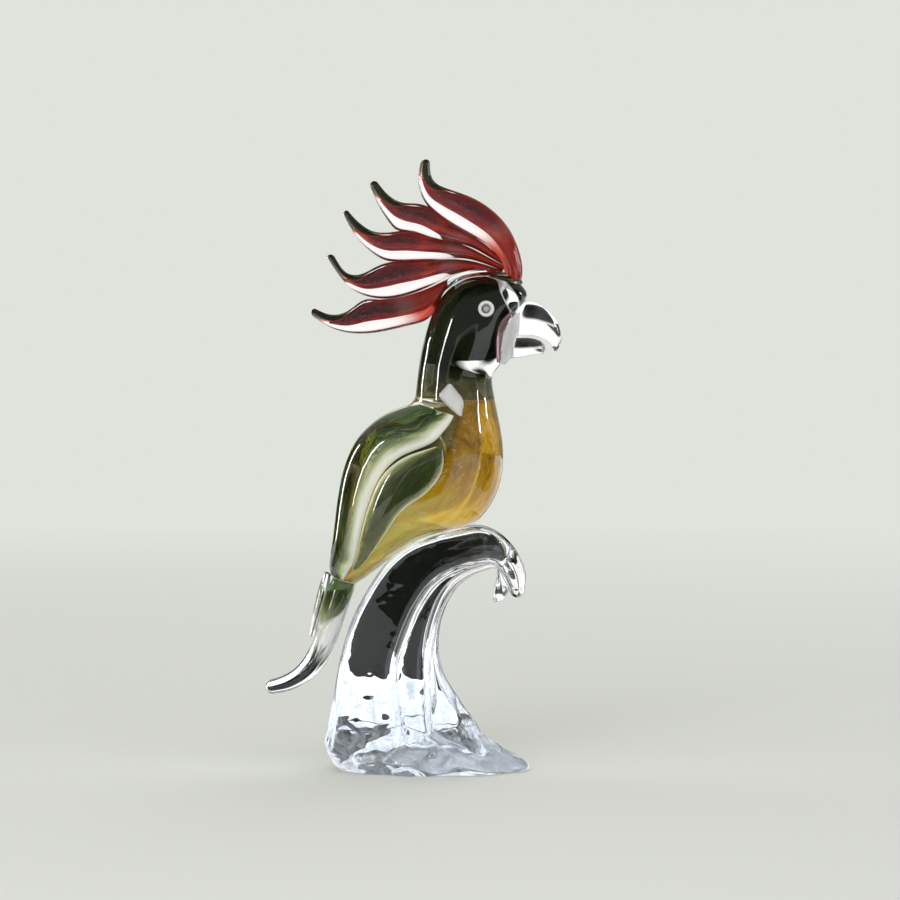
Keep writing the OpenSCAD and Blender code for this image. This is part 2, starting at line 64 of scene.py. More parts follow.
BODY_ROWS = [
    [-39.5, 95, -28, 92, 8],
    [-37, 106, -17, 99.4, 14],
    [-35, 118, -6.5, 108, 20],
    [-33.5, 131, 6.5, 114.6, 24.5],
    [-31.5, 144, 19.5, 118.1, 27],
    [-28, 155, 31, 122, 28.3],
    [-22.5, 164, 39.5, 133, 28.5],
    [-14, 172, 43.6, 146, 28],
    [-5, 177.5, 44, 158, 26],
    [0.5, 182, 42.5, 169, 23],
    [1.5, 188, 40.3, 180, 20.5],
    [2.3, 195, 38.7, 189, 19.5],
    [3.5, 203, 38.6, 194.5, 19.5],
    [5, 210.5, 42, 198.5, 20],
    [7, 218, 45, 204.5, 20.5],
    [9.5, 225, 47, 212.5, 20.5],
    [13, 231.5, 49, 221, 19.5],
    [19, 238, 53.5, 228, 17],
    [27, 242, 56, 234, 13],
    [35.5, 242.8, 53, 238.3, 7.5],
]
BREAST_CORE_ROWS = [
    [-37.4, 94.4, -30, 92.6, 5.4],
    [-34.4, 106, -19, 101.5, 11],
    [-32.4, 118.5, -8.5, 110.5, 17],
    [-30.6, 130.5, 5, 117.3, 21.5],
    [-28.5, 143, 18.4, 120.8, 24],
    [-25, 153.5, 29.5, 125, 25.3],
    [-20, 161.8, 37, 135.5, 25.5],
    [-12, 169.5, 40.8, 147.5, 25],
    [-3, 175, 41.2, 158.5, 23],
    [1.8, 179.5, 39.9, 169.5, 20],
    [3.4, 182.4, 37.8, 181.4, 18],
]
NECK_CORE_ROWS = [
    [3.4, 182.4, 37.8, 181.4, 18],
    [3.8, 190, 36.6, 188, 17.3],
    [4.6, 195, 34.6, 193.4, 16.9],
    [5.4, 199, 25.5, 197.2, 15.6],
    [6, 202, 18, 200.4, 13.6],
    [6.8, 205, 25.5, 202.6, 15.4],
    [7.8, 208.5, 35.4, 206, 16.9],
    [9.4, 214, 39.8, 210, 17.5],
    [12, 221, 42.5, 217, 17.4],
    [15.5, 227.5, 42.5, 224, 16.4],
    [20.5, 233.5, 42, 230, 14],
    [27, 237.3, 39.5, 235, 9.5],
]

# Perch rows go on with the shares of the width at which the two grooves lie
WAVE_ROWS = [
    [-41, 22, 29.5, 22, 24.5, 0.48, 0.70],
    [-40, 30, 24.5, 30.5, 24.3, 0.49, 0.745],
    [-39, 38, 20, 38, 24, 0.503, 0.788],
    [-37.6, 47, 15.5, 46, 23.6, 0.527, 0.844],
    [-35.5, 57.5, 12.6, 55.5, 23.2, 0.555, 0.885],
    [-32.5, 68, 12.3, 63, 22.8, 0.593, 0.90],
    [-28.5, 78, 13, 70.5, 22.4, 0.617, 0.91],
    [-23, 88, 14.8, 77.2, 22, 0.625, 0.91],
    [-16.5, 98, 18, 84.5, 21.6, 0.64, 0.90],
    [-8.7, 106.6, 22.5, 91, 21.2, 0.66, 0.90],
    [0.8, 112.7, 28, 95.3, 20.7, 0.69, 0.90],
    [12, 116.5, 33, 97.6, 20, 0.71, 0.90],
    [23, 118.8, 37, 99, 19, 0.73, 0.90],
    [33, 120.3, 40, 99.5, 18, 0.75, 0.90],
    [43.5, 115.8, 41.8, 98.3, 16.5, 0.77, 0.90],
    [51, 107.5, 43, 96, 14.5, 0.78, 0.91],
    [55.2, 98, 44.3, 93, 12, 0.78, 0.91],
    [54.8, 90, 46.5, 90, 9.5, 0.78, 0.91],
]
FLUTES = [[1, 5], [0.87, 3], [0.74, 2.4]]   # for each flute: share of the depth, squareness
FLUTE_LAP = 1.1                             # how far the flutes run into each other
CURL_SQUARE = 0.15                          # what is left of the squareness at the curl
EDGE_SHARE = 0.06                           # share of the width that rounds off at either edge

DROP_ROWS = [
    [41.4, 99.5, 43.4, 99.7, 4.5],
    [40.8, 95, 44.4, 95.4, 7],
    [40.2, 90.5, 46, 91, 7.5],
    [39, 86.5, 46.6, 87.3, 6],
    [39.5, 83.2, 43.9, 83.5, 3.8],
]

# Foot: [height, rear x, front x, share of the half depth]
FOOT_LEVELS = [
    [0, -36.5, 57, 0.94],
    [2.2, -39.5, 57.3, 0.98],
    [5, -41.3, 53, 1],
    [9, -42.4, 44.5, 0.98],
    [13, -42.5, 38.5, 0.94],
    [17.5, -41.8, 33.5, 0.88],
    [FOOT_TOP, -41, 29.5, 0.82],
]

FEATHERS = [[
    [53, 240.5, 45.5, 242, 5],
    [53.6, 247, 43.5, 248.5, 6],
    [51.6, 256, 39.5, 255, 6.2],
    [47, 266, 33.5, 260, 6],
    [40, 274, 26.5, 263.3, 5.7],
    [31, 280.3, 18.5, 267.8, 5.2],
    [20.5, 284.4, 11, 273.3, 4.6],
    [12.5, 287.2, 4.8, 279.8, 3.8],
    [8.7, 291.5, 2.4, 289, 2.9],
    [8.1, 297.8, 3.3, 297.2, 2.3],
], [
    [44.4, 250.2, 43.2, 248.6, 2.6],
    [39, 255.4, 36, 252.8, 4],
    [32.6, 260.4, 28, 257.2, 5.3],
    [25.6, 263.9, 18, 259.6, 5.6],
    [17.5, 268.4, 8, 262, 5.4],
    [11.4, 274.8, -1, 264.4, 5],
    [3, 278.4, -8.4, 265.2, 4.5],
    [-5.6, 278.6, -12.8, 270.3, 3.8],
    [-12.5, 282.6, -17.5, 278, 2.9],
    [-17.2, 288.2, -21, 286.2, 2.2],
], [
    [44.2, 248, 43.8, 245.4, 2.8],
    [34.6, 253.2, 33, 249.6, 4.2],
    [26, 257.6, 24, 251.6, 5.4],
    [15, 260.8, 14, 251.2, 5.6],
    [5, 262.9, 5, 250.3, 5.3],
    [-3.6, 265.3, -4.5, 249.7, 5],
    [-11.4, 264.2, -14, 250.4, 4.4],
    [-20, 264.6, -22, 255.7, 3.7],
    [-27, 269.3, -29, 263.2, 2.8],
    [-31.6, 274.3, -34, 272.3, 2.1],
], [
    [43.6, 245.6, 41, 242.6, 3],
    [31, 249.8, 28.5, 245, 4.6],
    [20, 251.2, 18.5, 243.4, 5.6],
    [10, 250.8, 11.5, 239.6, 5.5],
    [0, 250, 4, 236, 5.2],
    [-9, 250.2, -4, 233.2, 4.8],
    [-17.4, 248, -13.5, 231.6, 4.3],
    [-26, 243.4, -24, 233.2, 3.6],
    [-33.4, 244.5, -33.8, 239.3, 2.7],
    [-38.6, 252.3, -42, 251.4, 2.1],
], [
    [17.4, 241.6, 15.4, 235.4, 3.4],
    [13, 239.6, 12.6, 230.5, 5],
    [8.5, 237.4, 9.4, 224, 5.5],
    [2, 234.9, 4.5, 220.3, 5.3],
    [-7, 232.4, -3, 218.5, 5],
    [-16, 231.4, -12, 216.3, 4.6],
    [-24.4, 231.6, -22, 214.7, 4],
    [-33, 225, -32, 215, 3.2],
    [-41, 223.8, -41, 217.7, 2.4],
    [-47.6, 226.6, -49, 222.8, 1.9],
]]
FEATHER_SKIN = 1.1      # clear glass over a red core
CORE_SHARE = 0.64       # share of a feather's width that its core takes
CORE_LAST = 8           # row at which a core stops short of the clear tip
CORE_THIN = 0.84        # share of a feather's depth inside its skin that its core takes
CORE_TAPER = [0.2, 0.55, 1]     # how far a core's last rows have run out
TAPER_START, TAPER_END = 0.5, 0.1       # shares of the width by which a core's two edges then move
TAPER_DEPTH = 0.6       # share of its depth that it then loses
INSET_MOST = 0.4        # most of a row's half width that an inset may take

CREST_ROOT_ROWS = [
    [12.5, 237, 13.4, 233.6, 3],
    [17.5, 242.2, 19, 238.4, 5],
    [24, 245, 25.4, 241.6, 6],
    [32, 246.4, 33, 243, 6.2],
    [40, 246, 40, 242.4, 5.6],
    [45.6, 244.6, 45, 240.8, 4],
]
TAIL_LONG_ROWS = [
    [-39.5, 95, -28, 92, 8],
    [-41.4, 87, -31.5, 82.5, 8.4],
    [-43.8, 79.5, -34.5, 73, 8.2],
    [-46.6, 71.5, -37.8, 63, 7.6],
    [-50, 62.5, -41.6, 54.5, 6.8],
    [-54, 54.8, -46.3, 47.8, 6],
    [-58.5, 49.4, -52.5, 42.8, 5.1],
    [-64.4, 45.8, -60.6, 38.6, 4.2],
    [-70.4, 43.9, -69.2, 37, 3.2],
]
TAIL_SHORT_ROWS = [
    [-44, 97, -40.3, 95.4, 4],
    [-46.6, 90, -41.2, 88, 6.5],
    [-48.5, 82.5, -43.2, 80.5, 6.6],
    [-50.3, 74.5, -46, 73, 5.6],
    [-51.4, 67, -48.8, 66.2, 3.8],
]

# Lobes: [row of the form below, start angle, end angle, share of the lift],
# with angles in degrees round the section from its back edge
COVERT_SPAN = [
    [0.05, 12, 82, 0.25],
    [0.4, 8, 80, 0.75],
    [1, 6, 80, 0.95],
    [2, 5, 68, 1],
    [3, 5, 61, 1.05],
    [4, 5, 58, 1.05],
    [5, 5, 57, 1.05],
    [6, 5, 62, 1.05],
    [7, 6, 78, 1.05],
    [7.7, 9, 81, 0.9],
    [8.4, 18, 84, 0.7],
    [8.9, 34, 86, 0.4],
]
FLIGHT_SPAN = [
    [0.7, 85, 98, 0.3],
    [1.2, 78, 104, 0.75],
    [2, 69, 103, 1],
    [3, 62, 97, 1],
    [4, 59, 93, 1],
    [5, 58, 97, 1],
    [6, 65, 99, 0.95],
    [6.6, 75, 95, 0.65],
    [7, 83, 89, 0.3],
]
TAB_SPAN = [
    [9.02, 90, 97, 0.4],
    [9.35, 77, 99, 0.8],
    [9.75, 64, 102, 1],
    [10.1, 66, 100, 1],
    [10.45, 73, 92, 0.8],
    [10.75, 79, 85, 0.4],
]
TAIL_GREEN_SPAN = [
    [0.05, 16, 146, 0.3],
    [0.7, 14, 146, 0.95],
    [1.6, 14, 122, 1],
    [2.3, 18, 84, 0.9],
    [3.1, 28, 56, 0.5],
]
PAD_SPAN = [
    [13.3, 152, 208, 0.5],
    [13.9, 140, 220, 0.9],
    [14.6, 133, 227, 1.05],
    [15.3, 131, 229, 1.1],
    [16, 135, 225, 1.05],
    [16.5, 145, 215, 0.7],
]
COVERT_LIFT = 6
FLIGHT_LIFT = 2.6
TAB_LIFT = 4
TAIL_GREEN_LIFT = 3
TAIL_GREEN_FADE = (1.5, 0.05)           # tint of the tail's green at its start and end
PAD_LIFT = 3.6
CROWN_SHARE = 0.75      # fullness of a lobe's crown, 1 for a plain ellipse
COVERT_ROUND = 1.0      # the same for the upper wing lobes
TAB_CREASE = 1.5        # the same for the shoulder tabs, which have a crease
RIM_TINT = 0.15         # share of its tint that a lobe keeps at its rim, where green glass shows a painted white highlight and tab glass a painted dark outline
PLAIN_BANDS = (0.15, 0.15)          # shares of a lobe's width whose tint falls towards its rims, into the painted highlight or outline
COVERT_BANDS = (0.2, 0.42)
FLIGHT_BANDS = (0.4, 0.2)
TAB_BANDS = (0.35, 0.25)

BEAK_UPPER_ROWS = [
    [52, 229, 50.5, 214, 9],
    [56.5, 230.9, 53.6, 213.8, 10],
    [62, 229.2, 58, 213.8, 9.7],
    [67.3, 225.2, 62, 212.8, 8.6],
    [71.4, 219.4, 65.6, 210.6, 6.8],
    [72.9, 212.6, 68, 208.2, 4.8],
    [71.9, 208.4, 69, 206.8, 3],
]
BEAK_LOWER_ROWS = [
    [49.4, 213.4, 47.4, 202.6, 7],
    [53, 213.2, 52.4, 203, 7.4],
    [58, 212.8, 58.5, 204.2, 6.6],
    [62.4, 211, 63.4, 204.8, 5],
]

PUPIL_SHARE = 0.52      # share of the eye's radius that its pupil takes
RIM_RISE, PUPIL_RISE = 2.2, 1.4         # heights of the arcs of the eye's rim and the pupil's dome
POLE = 0.02             # how close a bead's profile comes to its axis

# ---- Fineness ----

ROW_STEPS = 14          # rings between two rows
LOBE_STEPS = 20         # the same in a lobe
BODY_SIDES = 240
FEATHER_SIDES = 72
SMALL_SIDES = 64
LOBE_SIDES = 96
FLUTE_POINTS = [50, 44, 26]         # points across each flute, on one side of the perch
FOOT_RINGS = 60
FOOT_STEPS = 12         # steps between two levels of the foot
CAP_RINGS = 14
SOFTNESS = 0.3          # smoothing along a form, in rows
RIM_DEGREES = 2.0       # a lobe's footprint less this is where glass is fused to glass
RIM_ROWS = 0.06         # the same along the lobe

# ---- Shape functions ----


def soften(table, steps):
    """Evens out a table of rows along its length, and keeps both ends where they are."""
    sigma = SOFTNESS * steps
    reach = int(3 * sigma)
    weights = np.exp(-0.5 * (np.arange(-reach, reach + 1) / sigma) ** 2)
    weights /= weights.sum()
    before = 2 * table[0] - table[reach:0:-1]
    after = 2 * table[-1] - table[-2:-reach - 2:-1]
    padded = np.concatenate([before, table, after])
    columns = [np.convolve(column, weights, "valid") for column in padded.T]
    return np.array(columns).T


def fair(rows, steps=ROW_STEPS):
    """The rows with others in between, on one smooth curve."""
    rows = np.asarray(rows, float)
    last = len(rows) - 1
    place = np.arange(last * steps + 1) / steps
    i = np.minimum(place.astype(int), last - 1)
    t = (place - i)[:, None]
    a, b = rows[np.maximum(i - 1, 0)], rows[i]
    c, d = rows[i + 1], rows[np.minimum(i + 2, last)]
    square, cube = 2 * a - 5 * b + 4 * c - d, 3 * b - a - 3 * c + d
    return soften((2 * b + (c - a) * t + square * t ** 2 + cube * t ** 3) / 2, steps)


def row_at(table, place, steps=ROW_STEPS):
    """Rows of a faired table at fractional row numbers."""
    known = np.arange(len(table)) / steps
    return np.array([np.interp(place, known, column) for column in table.T]).T


def scaled_depth(rows, scale):
    """The rows with their depths multiplied by a scale."""
    rows = np.array(rows, float)
    rows[:, 4] *= scale
    return rows


def deepened(rows, half_depth):
    """The rows with their depths scaled, so that the deepest reaches half_depth."""
    return scaled_depth(rows, half_depth / max(row[4] for row in rows))


def end_rows(row, neighbour, share):
    """Shrinking rows that round off an end, going away from its neighbour."""
    centre, reach = (row[0:2] + row[2:4]) / 2, (row[2:4] - row[0:2]) / 2
    way = centre - (neighbour[0:2] + neighbour[2:4]) / 2
    far = way / np.linalg.norm(way) * np.linalg.norm(reach) * share
    made = []
    for k in range(1, CAP_RINGS + 1):
        a = math.pi / 2 * k / (CAP_RINGS + 0.3)
        c, r = centre + far * math.sin(a), reach * math.cos(a)
        made.append(np.concatenate([c - r, c + r, [row[4] * math.cos(a)], row[5:]]))
    return np.array(made)


def rounded(table, start, end):
    """A table with rounded ends; a share of 0 leaves that end flat."""
    parts = [table]
    if start:
        parts.insert(0, end_rows(table[0], table[1], start)[::-1])
    if end:
        parts.append(end_rows(table[-1], table[-2], end))
    return np.concatenate(parts)


def section(table, degrees, lift=0.0, ridge=1.0):
    """Points round each row at angles from its back edge, lifted square off the surface.

    A ridge over 1 gives the section a sharper crown."""
    a = np.radians(degrees)
    centre = ((table[:, 0:2] + table[:, 2:4]) / 2)[:, None, :]
    reach = ((table[:, 2:4] - table[:, 0:2]) / 2)[:, None, :]
    width = np.linalg.norm(reach, axis=2)
    depth = table[:, 4][:, None]
    out_x, out_y = np.cos(a) / width, np.sin(a) / depth
    scale = lift / np.hypot(out_x, out_y)
    along = (-width * np.cos(a) - out_x * scale) / width
    y = depth * np.sign(np.sin(a)) * np.abs(np.sin(a)) ** ridge + out_y * scale
    flat = centre + reach * along[:, :, None]
    return np.stack([flat[:, :, 0], y, flat[:, :, 1]], axis=2)


def inset(rows, wall):
    """The rows drawn in by a wall on every side, less where they are too narrow for that."""
    rows = np.array(rows, float)
    reach = (rows[:, 2:4] - rows[:, 0:2]) / 2
    share = np.minimum(wall / np.linalg.norm(reach, axis=1), INSET_MOST)[:, None]
    start, end = rows[:, 0:2] + reach * share, rows[:, 2:4] - reach * share
    return np.concatenate([start, end, rows[:, 4:5] - wall], axis=1)


def to_lead(rows, share):
    """The rows kept to a share of their width from the first edge, and thinned.

    The last few narrow towards the second edge, so that the colour runs out in a point."""
    first, wide = rows[:, 0:2], rows[:, 2:4] - rows[:, 0:2]
    taper = np.zeros(len(rows))
    taper[-len(CORE_TAPER):] = CORE_TAPER
    start, end = (taper * TAPER_START)[:, None], (share + taper * TAPER_END)[:, None]
    depth = rows[:, 4] * CORE_THIN * (1 - taper * TAPER_DEPTH)
    return np.concatenate([first + wide * start, first + wide * end, depth[:, None]], axis=1)


# ---- Meshes ----


def grain_of(points):
    """For each point of a stack of rings: the way along the form, and its place across it."""
    middle = points.mean(axis=1)
    run = np.concatenate([[0], np.cumsum(np.linalg.norm(np.diff(middle, axis=0), axis=1))])
    across = np.linalg.norm(points - middle[:, None, :], axis=2)
    sign = np.sign(points[:, :, 0] - middle[:, None, 0])
    return np.stack([np.broadcast_to(run[:, None], across.shape), across * sign, points[:, :, 1]], axis=2)


END_SLOT = {"skin": 0, "fused": 1, "ground": 2}     # material slot of each kind of end
FUSED_DISH = 0.3        # a fused end is dished this deep, to keep clear of the end it meets


def set_attribute(mesh, name, kind, key, values):
    data = mesh.attributes.new(name, kind, "POINT").data
    data.foreach_set(key, values.astype(np.float32).ravel())


def pole_of(ring, neighbour, end):
    """Middle of an end, moved inward a little where the end is fused to another."""
    middle = ring.mean(axis=0)
    inward = neighbour.mean(axis=0) - middle
    return middle + inward / np.linalg.norm(inward) * (FUSED_DISH if end == "fused" else 0)


def turn_outward(mesh):
    """Turns all faces outward, judged by the sign of the mesh's volume."""
    mesh.calc_loop_triangles()
    corner = np.zeros(len(mesh.vertices) * 3)
    mesh.vertices.foreach_get("co", corner)
    corner = corner.reshape(-1, 3)
    loops = np.zeros(len(mesh.loop_triangles) * 3, np.int32)
    mesh.loop_triangles.foreach_get("vertices", loops)
    a, b, c = (corner[loops.reshape(-1, 3)[:, k]] for k in range(3))
    if np.einsum("ij,ij->i", a, np.cross(b, c)).sum() < 0:
        mesh.flip_normals()


def faces_of(rings, sides):
    """Walls between the rings, then a fan at each end. The poles are the last two points."""
    ring, side = np.meshgrid(np.arange(rings - 1), np.arange(sides), indexing="ij")
    following = (side + 1) % sides
    low, high = ring * sides, (ring + 1) * sides
    walls = np.stack([low + side, low + following, high + following, high + side], axis=2)
    around = np.arange(sides)
    after = (around + 1) % sides
    base, pole = (rings - 1) * sides, rings * sides
    start_fan = np.stack([around, np.full(sides, pole), after], axis=1)
    end_fan = np.stack([base + around, base + after, np.full(sides, pole + 1)], axis=1)
    return walls.reshape(-1, 4).tolist() + start_fan.tolist() + end_fan.tolist()


def mesh_piece(node, materials, points, ends=("skin", "skin"), fused=None, tint=None):
    """A closed mesh over a stack of rings, in place of a CAD node.

    Fused faces get the second material.
    The tint, from 0 to 1 at each point, says how much of its colour the glass shows there."""
    rings, sides = points.shape[:2]
    walls = np.zeros((rings - 1, sides), int) if fused is None else fused.astype(int)
    poles = [pole_of(points[0], points[1], ends[0]), pole_of(points[-1], points[-2], ends[1])]
    corners = np.concatenate([points.reshape(-1, 3), poles]) * MM
    slots = np.concatenate([walls.ravel()] + [np.full(sides, END_SLOT[end]) for end in ends])
    smooth = np.concatenate([np.ones(walls.size, bool)] + [np.full(sides, end == "skin") for end in ends])
    mesh = bpy.data.meshes.new(f"{node}_glass")
    mesh.from_pydata(corners.tolist(), [], faces_of(rings, sides))
    for material in materials:
        mesh.materials.append(material)
    mesh.polygons.foreach_set("use_smooth", smooth)
    mesh.polygons.foreach_set("material_index", slots.astype(np.int32))
    grain = np.concatenate([grain_of(points).reshape(-1, 3), np.zeros((2, 3))])
    grain[-2], grain[-1] = grain[0], grain[-3]
    set_attribute(mesh, "grain", "FLOAT_VECTOR", "vector", grain)
    tint = np.ones((rings, sides)) if tint is None else np.broadcast_to(tint, (rings, sides))
    tint = np.concatenate([tint.ravel(), [tint[0].mean(), tint[-1].mean()]])
    set_attribute(mesh, "tint", "FLOAT", "value", tint)
    mesh.validate()
    mesh.update()
    turn_outward(mesh)
    piece = bpy.data.objects.new(mesh.name, mesh)
    bpy.context.scene.collection.objects.link(piece)
    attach(piece, "root")
    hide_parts(node)


def form(node, material, rows, sides=SMALL_SIDES, start=0.6, end=0.6, tint_at=None):
    """A piece over a table of rows, with its tint from a function of its points."""
    table = rounded(fair(rows), start, end)
    points = section(table, np.arange(sides) * 360 / sides)
    mesh_piece(node, [material], points, tint=tint_at(points) if tint_at else None)


def ramped(values, low, high):
    """0 at low and 1 at high, with a smooth step between them."""
    t = np.clip((values - low) / (high - low), 0, 1)
    return t * t * (3 - 2 * t)


def mirrored(points):
    return points * np.array([1, -1, 1])


def lobe_points(below, spans, lift, crown_share):
    """A lobe's rings: out over its crown, then back along the surface below."""
    spans = fair(spans, LOBE_STEPS)
    half = LOBE_SIDES // 2
    a = np.radians(180 * np.arange(LOBE_SIDES) / half)[None, :]
    middle, swing = (spans[:, 1] + spans[:, 2])[:, None] / 2, (spans[:, 2] - spans[:, 1])[:, None] / 2
    degrees = middle - swing * np.cos(a)
    crown = np.where(np.arange(LOBE_SIDES) < half, np.maximum(np.sin(a), 0) ** crown_share, 0)
    return section(row_at(below, spans[:, 0]), degrees, lift * spans[:, 3][:, None] * crown)


def lobe(node, slot, material, below, spans, lift, right, fade, crown_share, bands):
    """A lobe whose tint is deepest at its crown, and fades along it from one share to the other.

    The bands are the shares of the width, at the rear and at the front, whose tint falls towards the
    rims, where green glass shows a painted white highlight and tab glass a painted dark outline."""
    points = lobe_points(below, spans, lift, crown_share)
    if right:
        points = mirrored(points)
    half = LOBE_SIDES // 2
    under = np.zeros((len(points) - 1, LOBE_SIDES), bool)
    under[:, half:] = True
    across = (1 - np.cos(np.pi * np.arange(LOBE_SIDES) / half)) / 2
    crown = ramped(across, 0, bands[0]) * ramped(1 - across, 0, bands[1])
    tint = np.linspace(*fade, len(points))[:, None] * (RIM_TINT + (1 - RIM_TINT) * crown)[None, :]
    mesh_piece(node, [material, FUSED], points, fused=under, tint=tint)


def under_lobes(places, degrees, spans_list):
    """True where a form's face lies wholly under one of the lobes laid on it."""
    hidden = np.zeros((len(places) - 1, len(degrees)), bool)
    middle = (places[:-1] + places[1:]) / 2
    for spans, sides in spans_list:
        spans = fair(spans, LOBE_STEPS)
        inside = (middle > spans[0, 0] + RIM_ROWS) & (middle < spans[-1, 0] - RIM_ROWS)
        low = np.interp(middle, spans[:, 0], spans[:, 1])[:, None] + RIM_DEGREES
        high = np.interp(middle, spans[:, 0], spans[:, 2])[:, None] - RIM_DEGREES
        step = degrees[1] - degrees[0]
        for turn in sides:
            start = degrees[None, :] if turn > 0 else 360 - degrees[None, :] - step
            hidden |= inside[:, None] & (start > low) & (start + step < high)
    return hidden


# ---- Perch ----

RIPPLE_WAVES = 10
RIPPLE_SPREAD = (0.7, 1.5)              # their lengths, as shares of the size asked for
LUMPS = [(17, 1.5, 3), (8, 0.35, 8)]    # size, height and seed of the unevenness of the foot's skin
LUMP_FADE = [[0, 2.5, 6, 17, FOOT_TOP, 34, 60], [0, 0.35, 1, 1, 0.6, 0.15, 0]]  # its share by height
SWAY = (24, 1.5, 5)                     # size, height and seed of the unevenness of the joint
SWAY_FADE = [[8, FOOT_TOP, 40], [0, 1, 0]]
SIDE_PUSH = 1.6                         # lumps push the narrow foot more to its sides
SCALLOPS, SCALLOP_DEPTH = 9, 1.2        # lobes round the foot's rim
FLUTE_BLEND = 14                        # crispness of the grooves
CURL_X = [36, 48]                       # along these x the flutes lose their squareness
CURL_CAP = 1.3                          # length of the curl's rounded end, as a share of its half width
PERCH_TINTS = [(0.4, 50, 38), (0.06, 27, 12)]   # tint lost, between two heights; the lower tints show the pale streaks of painted light


def ripple(points, size, height, seed):
    """Smooth unevenness of hand-worked glass, from a few seeded waves of about one size."""
    random = np.random.default_rng(seed)
    total = np.zeros(points.shape[:2])
    for _ in range(RIPPLE_WAVES):
        way = random.normal(size=3)
        way *= 2 * math.pi / (size * random.uniform(*RIPPLE_SPREAD)) / np.linalg.norm(way)
        total += np.sin(points @ way + random.uniform(0, 2 * math.pi))
    return height * total / math.sqrt(RIPPLE_WAVES)


def lumpy(points, centre_x):
    """Pushes the foot's skin in and out, fading up the perch and towards the resting face.

    The joint on the foot's top is also moved a little up and down, to be as uneven as the skin."""
    z = points[:, :, 2]
    sway = ripple(points * np.array([1, 1, 0]), *SWAY) * np.interp(z, *SWAY_FADE)
    push = sum(ripple(points, *lumps) for lumps in LUMPS) * np.interp(z, *LUMP_FADE)
    out = np.stack([points[:, :, 0] - centre_x, points[:, :, 1] * SIDE_PUSH], axis=2)
    out /= np.maximum(np.linalg.norm(out, axis=2, keepdims=True), 1e-6)
    moved = points.copy()
    moved[:, :, 0] += out[:, :, 0] * push
    moved[:, :, 1] += out[:, :, 1] * push
    moved[:, :, 2] += sway
    return moved


def wave_depth(t, row):
    """Half depth of the perch at shares of its width. The flutes are squarer before the curl."""
    crisp = np.interp(row[0], CURL_X, [1, CURL_SQUARE])
    edges = [0, row[5], row[6], 1]
    heights = []
    for i, (share, square) in enumerate(FLUTES):
        middle, half = (edges[i] + edges[i + 1]) / 2, (edges[i + 1] - edges[i]) / 2 * FLUTE_LAP
        off = np.clip(np.abs(t - middle) / half, 0, 1)
        square = 1 + (square - 1) * crisp
        heights.append(share * (1 - off ** square) ** (1 / square))
    height = sum(h ** FLUTE_BLEND for h in heights) ** (1 / FLUTE_BLEND)
    edge = np.clip(np.minimum(t, 1 - t) / EDGE_SHARE, 0, 1)
    return row[4] * height * np.sqrt(1 - (1 - edge) ** 2)


def wave_ring(row):
    """Fluted ring: over one side from the outer edge to the inner, back over the other.

    Points gather at the grooves, so that the mesh follows them."""
    edges = [0, row[5], row[6], 1]
    parts = []
    for low, high, count in zip(edges, edges[1:], FLUTE_POINTS):
        parts.append(low + (high - low) * (1 - np.cos(np.pi * np.arange(count) / count)) / 2)
    t = np.concatenate(parts + [[1.0]])
    depth = wave_depth(t, row)
    x, z = row[0] + (row[2] - row[0]) * t, row[1] + (row[3] - row[1]) * t
    side = np.stack([x, depth, z], axis=1)
    return np.concatenate([side, mirrored(side[-2:0:-1])])


PERCH_TABLE = fair(deepened(WAVE_ROWS, PERCH_HALF))
PERCH_CENTRE_X = (WAVE_ROWS[0][0] + WAVE_ROWS[0][2]) / 2


def perch_tint(points):
    """Plain glass above; below, and most in the foot, more pale streaks, which are painted light standing
    in for the bright studio seen through the glass.
    """
    z = points[:, :, 2]
    return 1 - sum(loss * ramped(-z, -high, -low) for loss, high, low in PERCH_TINTS)


def perch_wave_points():
    table = rounded(PERCH_TABLE, 0, CURL_CAP)
    return lumpy(np.array([wave_ring(row) for row in table]), PERCH_CENTRE_X)


def perch_foot_points():
    levels = fair(FOOT_LEVELS, FOOT_STEPS)
    heights = FOOT_TOP * (1 - np.cos(np.pi * np.arange(FOOT_RINGS + 1) / FOOT_RINGS)) / 2
    base = PERCH_TABLE[0]
    top = wave_ring(base)
    a = 2 * np.pi * np.arange(len(top)) / len(top)
    rings = []
    for z in heights:
        rear, front, share = (np.interp(z, levels[:, 0], levels[:, k]) for k in (1, 2, 3))
        rise = z / FOOT_TOP
        flow = rise * rise * (3 - 2 * rise)
        middle, half_x = (rear + front) / 2, (front - rear) / 2
        swell = SCALLOP_DEPTH * (1 - flow) * (np.cos(SCALLOPS * a) - 1)
        plain_y = (share * FOOT_HALF + swell) * np.sin(a)
        plain_x = middle - half_x * np.cos(a)
        drawn_x = rear + (top[:, 0] - base[0]) * 2 * half_x / (base[2] - base[0])
        x = plain_x * (1 - flow) + drawn_x * flow
        y = plain_y * (1 - flow) + top[:, 1] * flow
        rings.append(np.stack([x, y, np.full(len(a), z)], axis=1))
    return lumpy(np.array(rings), PERCH_CENTRE_X)


# ---- Materials ----

AIR_IOR = 1.5           # glass in air
SAME_IOR = 1.0          # glass inside glass only tints the light, and does not bend it
RIPPLE_SCALE = 70.0     # fine unevenness of a fire-polished skin
RIPPLE_STRENGTH = 0.6
WISP_BAND = (0.485, 0.5, 0.515)     # band of the noise that shows as a wisp


def feed(node, name, value):
    """Gives a node's input a plain value, or links another node's output to it."""
    socket = node.inputs[name]
    if isinstance(value, bpy.types.NodeSocket):
        node.id_data.links.new(value, socket)
    else:
        socket.default_value = value


def node_of(tree, kind, **settings):
    node = tree.nodes.new("ShaderNode" + kind)
    for key, value in settings.items():
        setattr(node, key, value)
    return node


def ramp_of(tree, factor, stops):
    """Colour ramp over [(place, colour), ...], fed by a factor."""
    ramp = node_of(tree, "ValToRGB")
    while len(ramp.color_ramp.elements) < len(stops):
        ramp.color_ramp.elements.new(0.5)
    for element, (place, colour) in zip(ramp.color_ramp.elements, stops):
        element.position = place
        element.color = (*colour, 1)
    feed(ramp, "Fac", factor)
    return ramp.outputs["Color"]


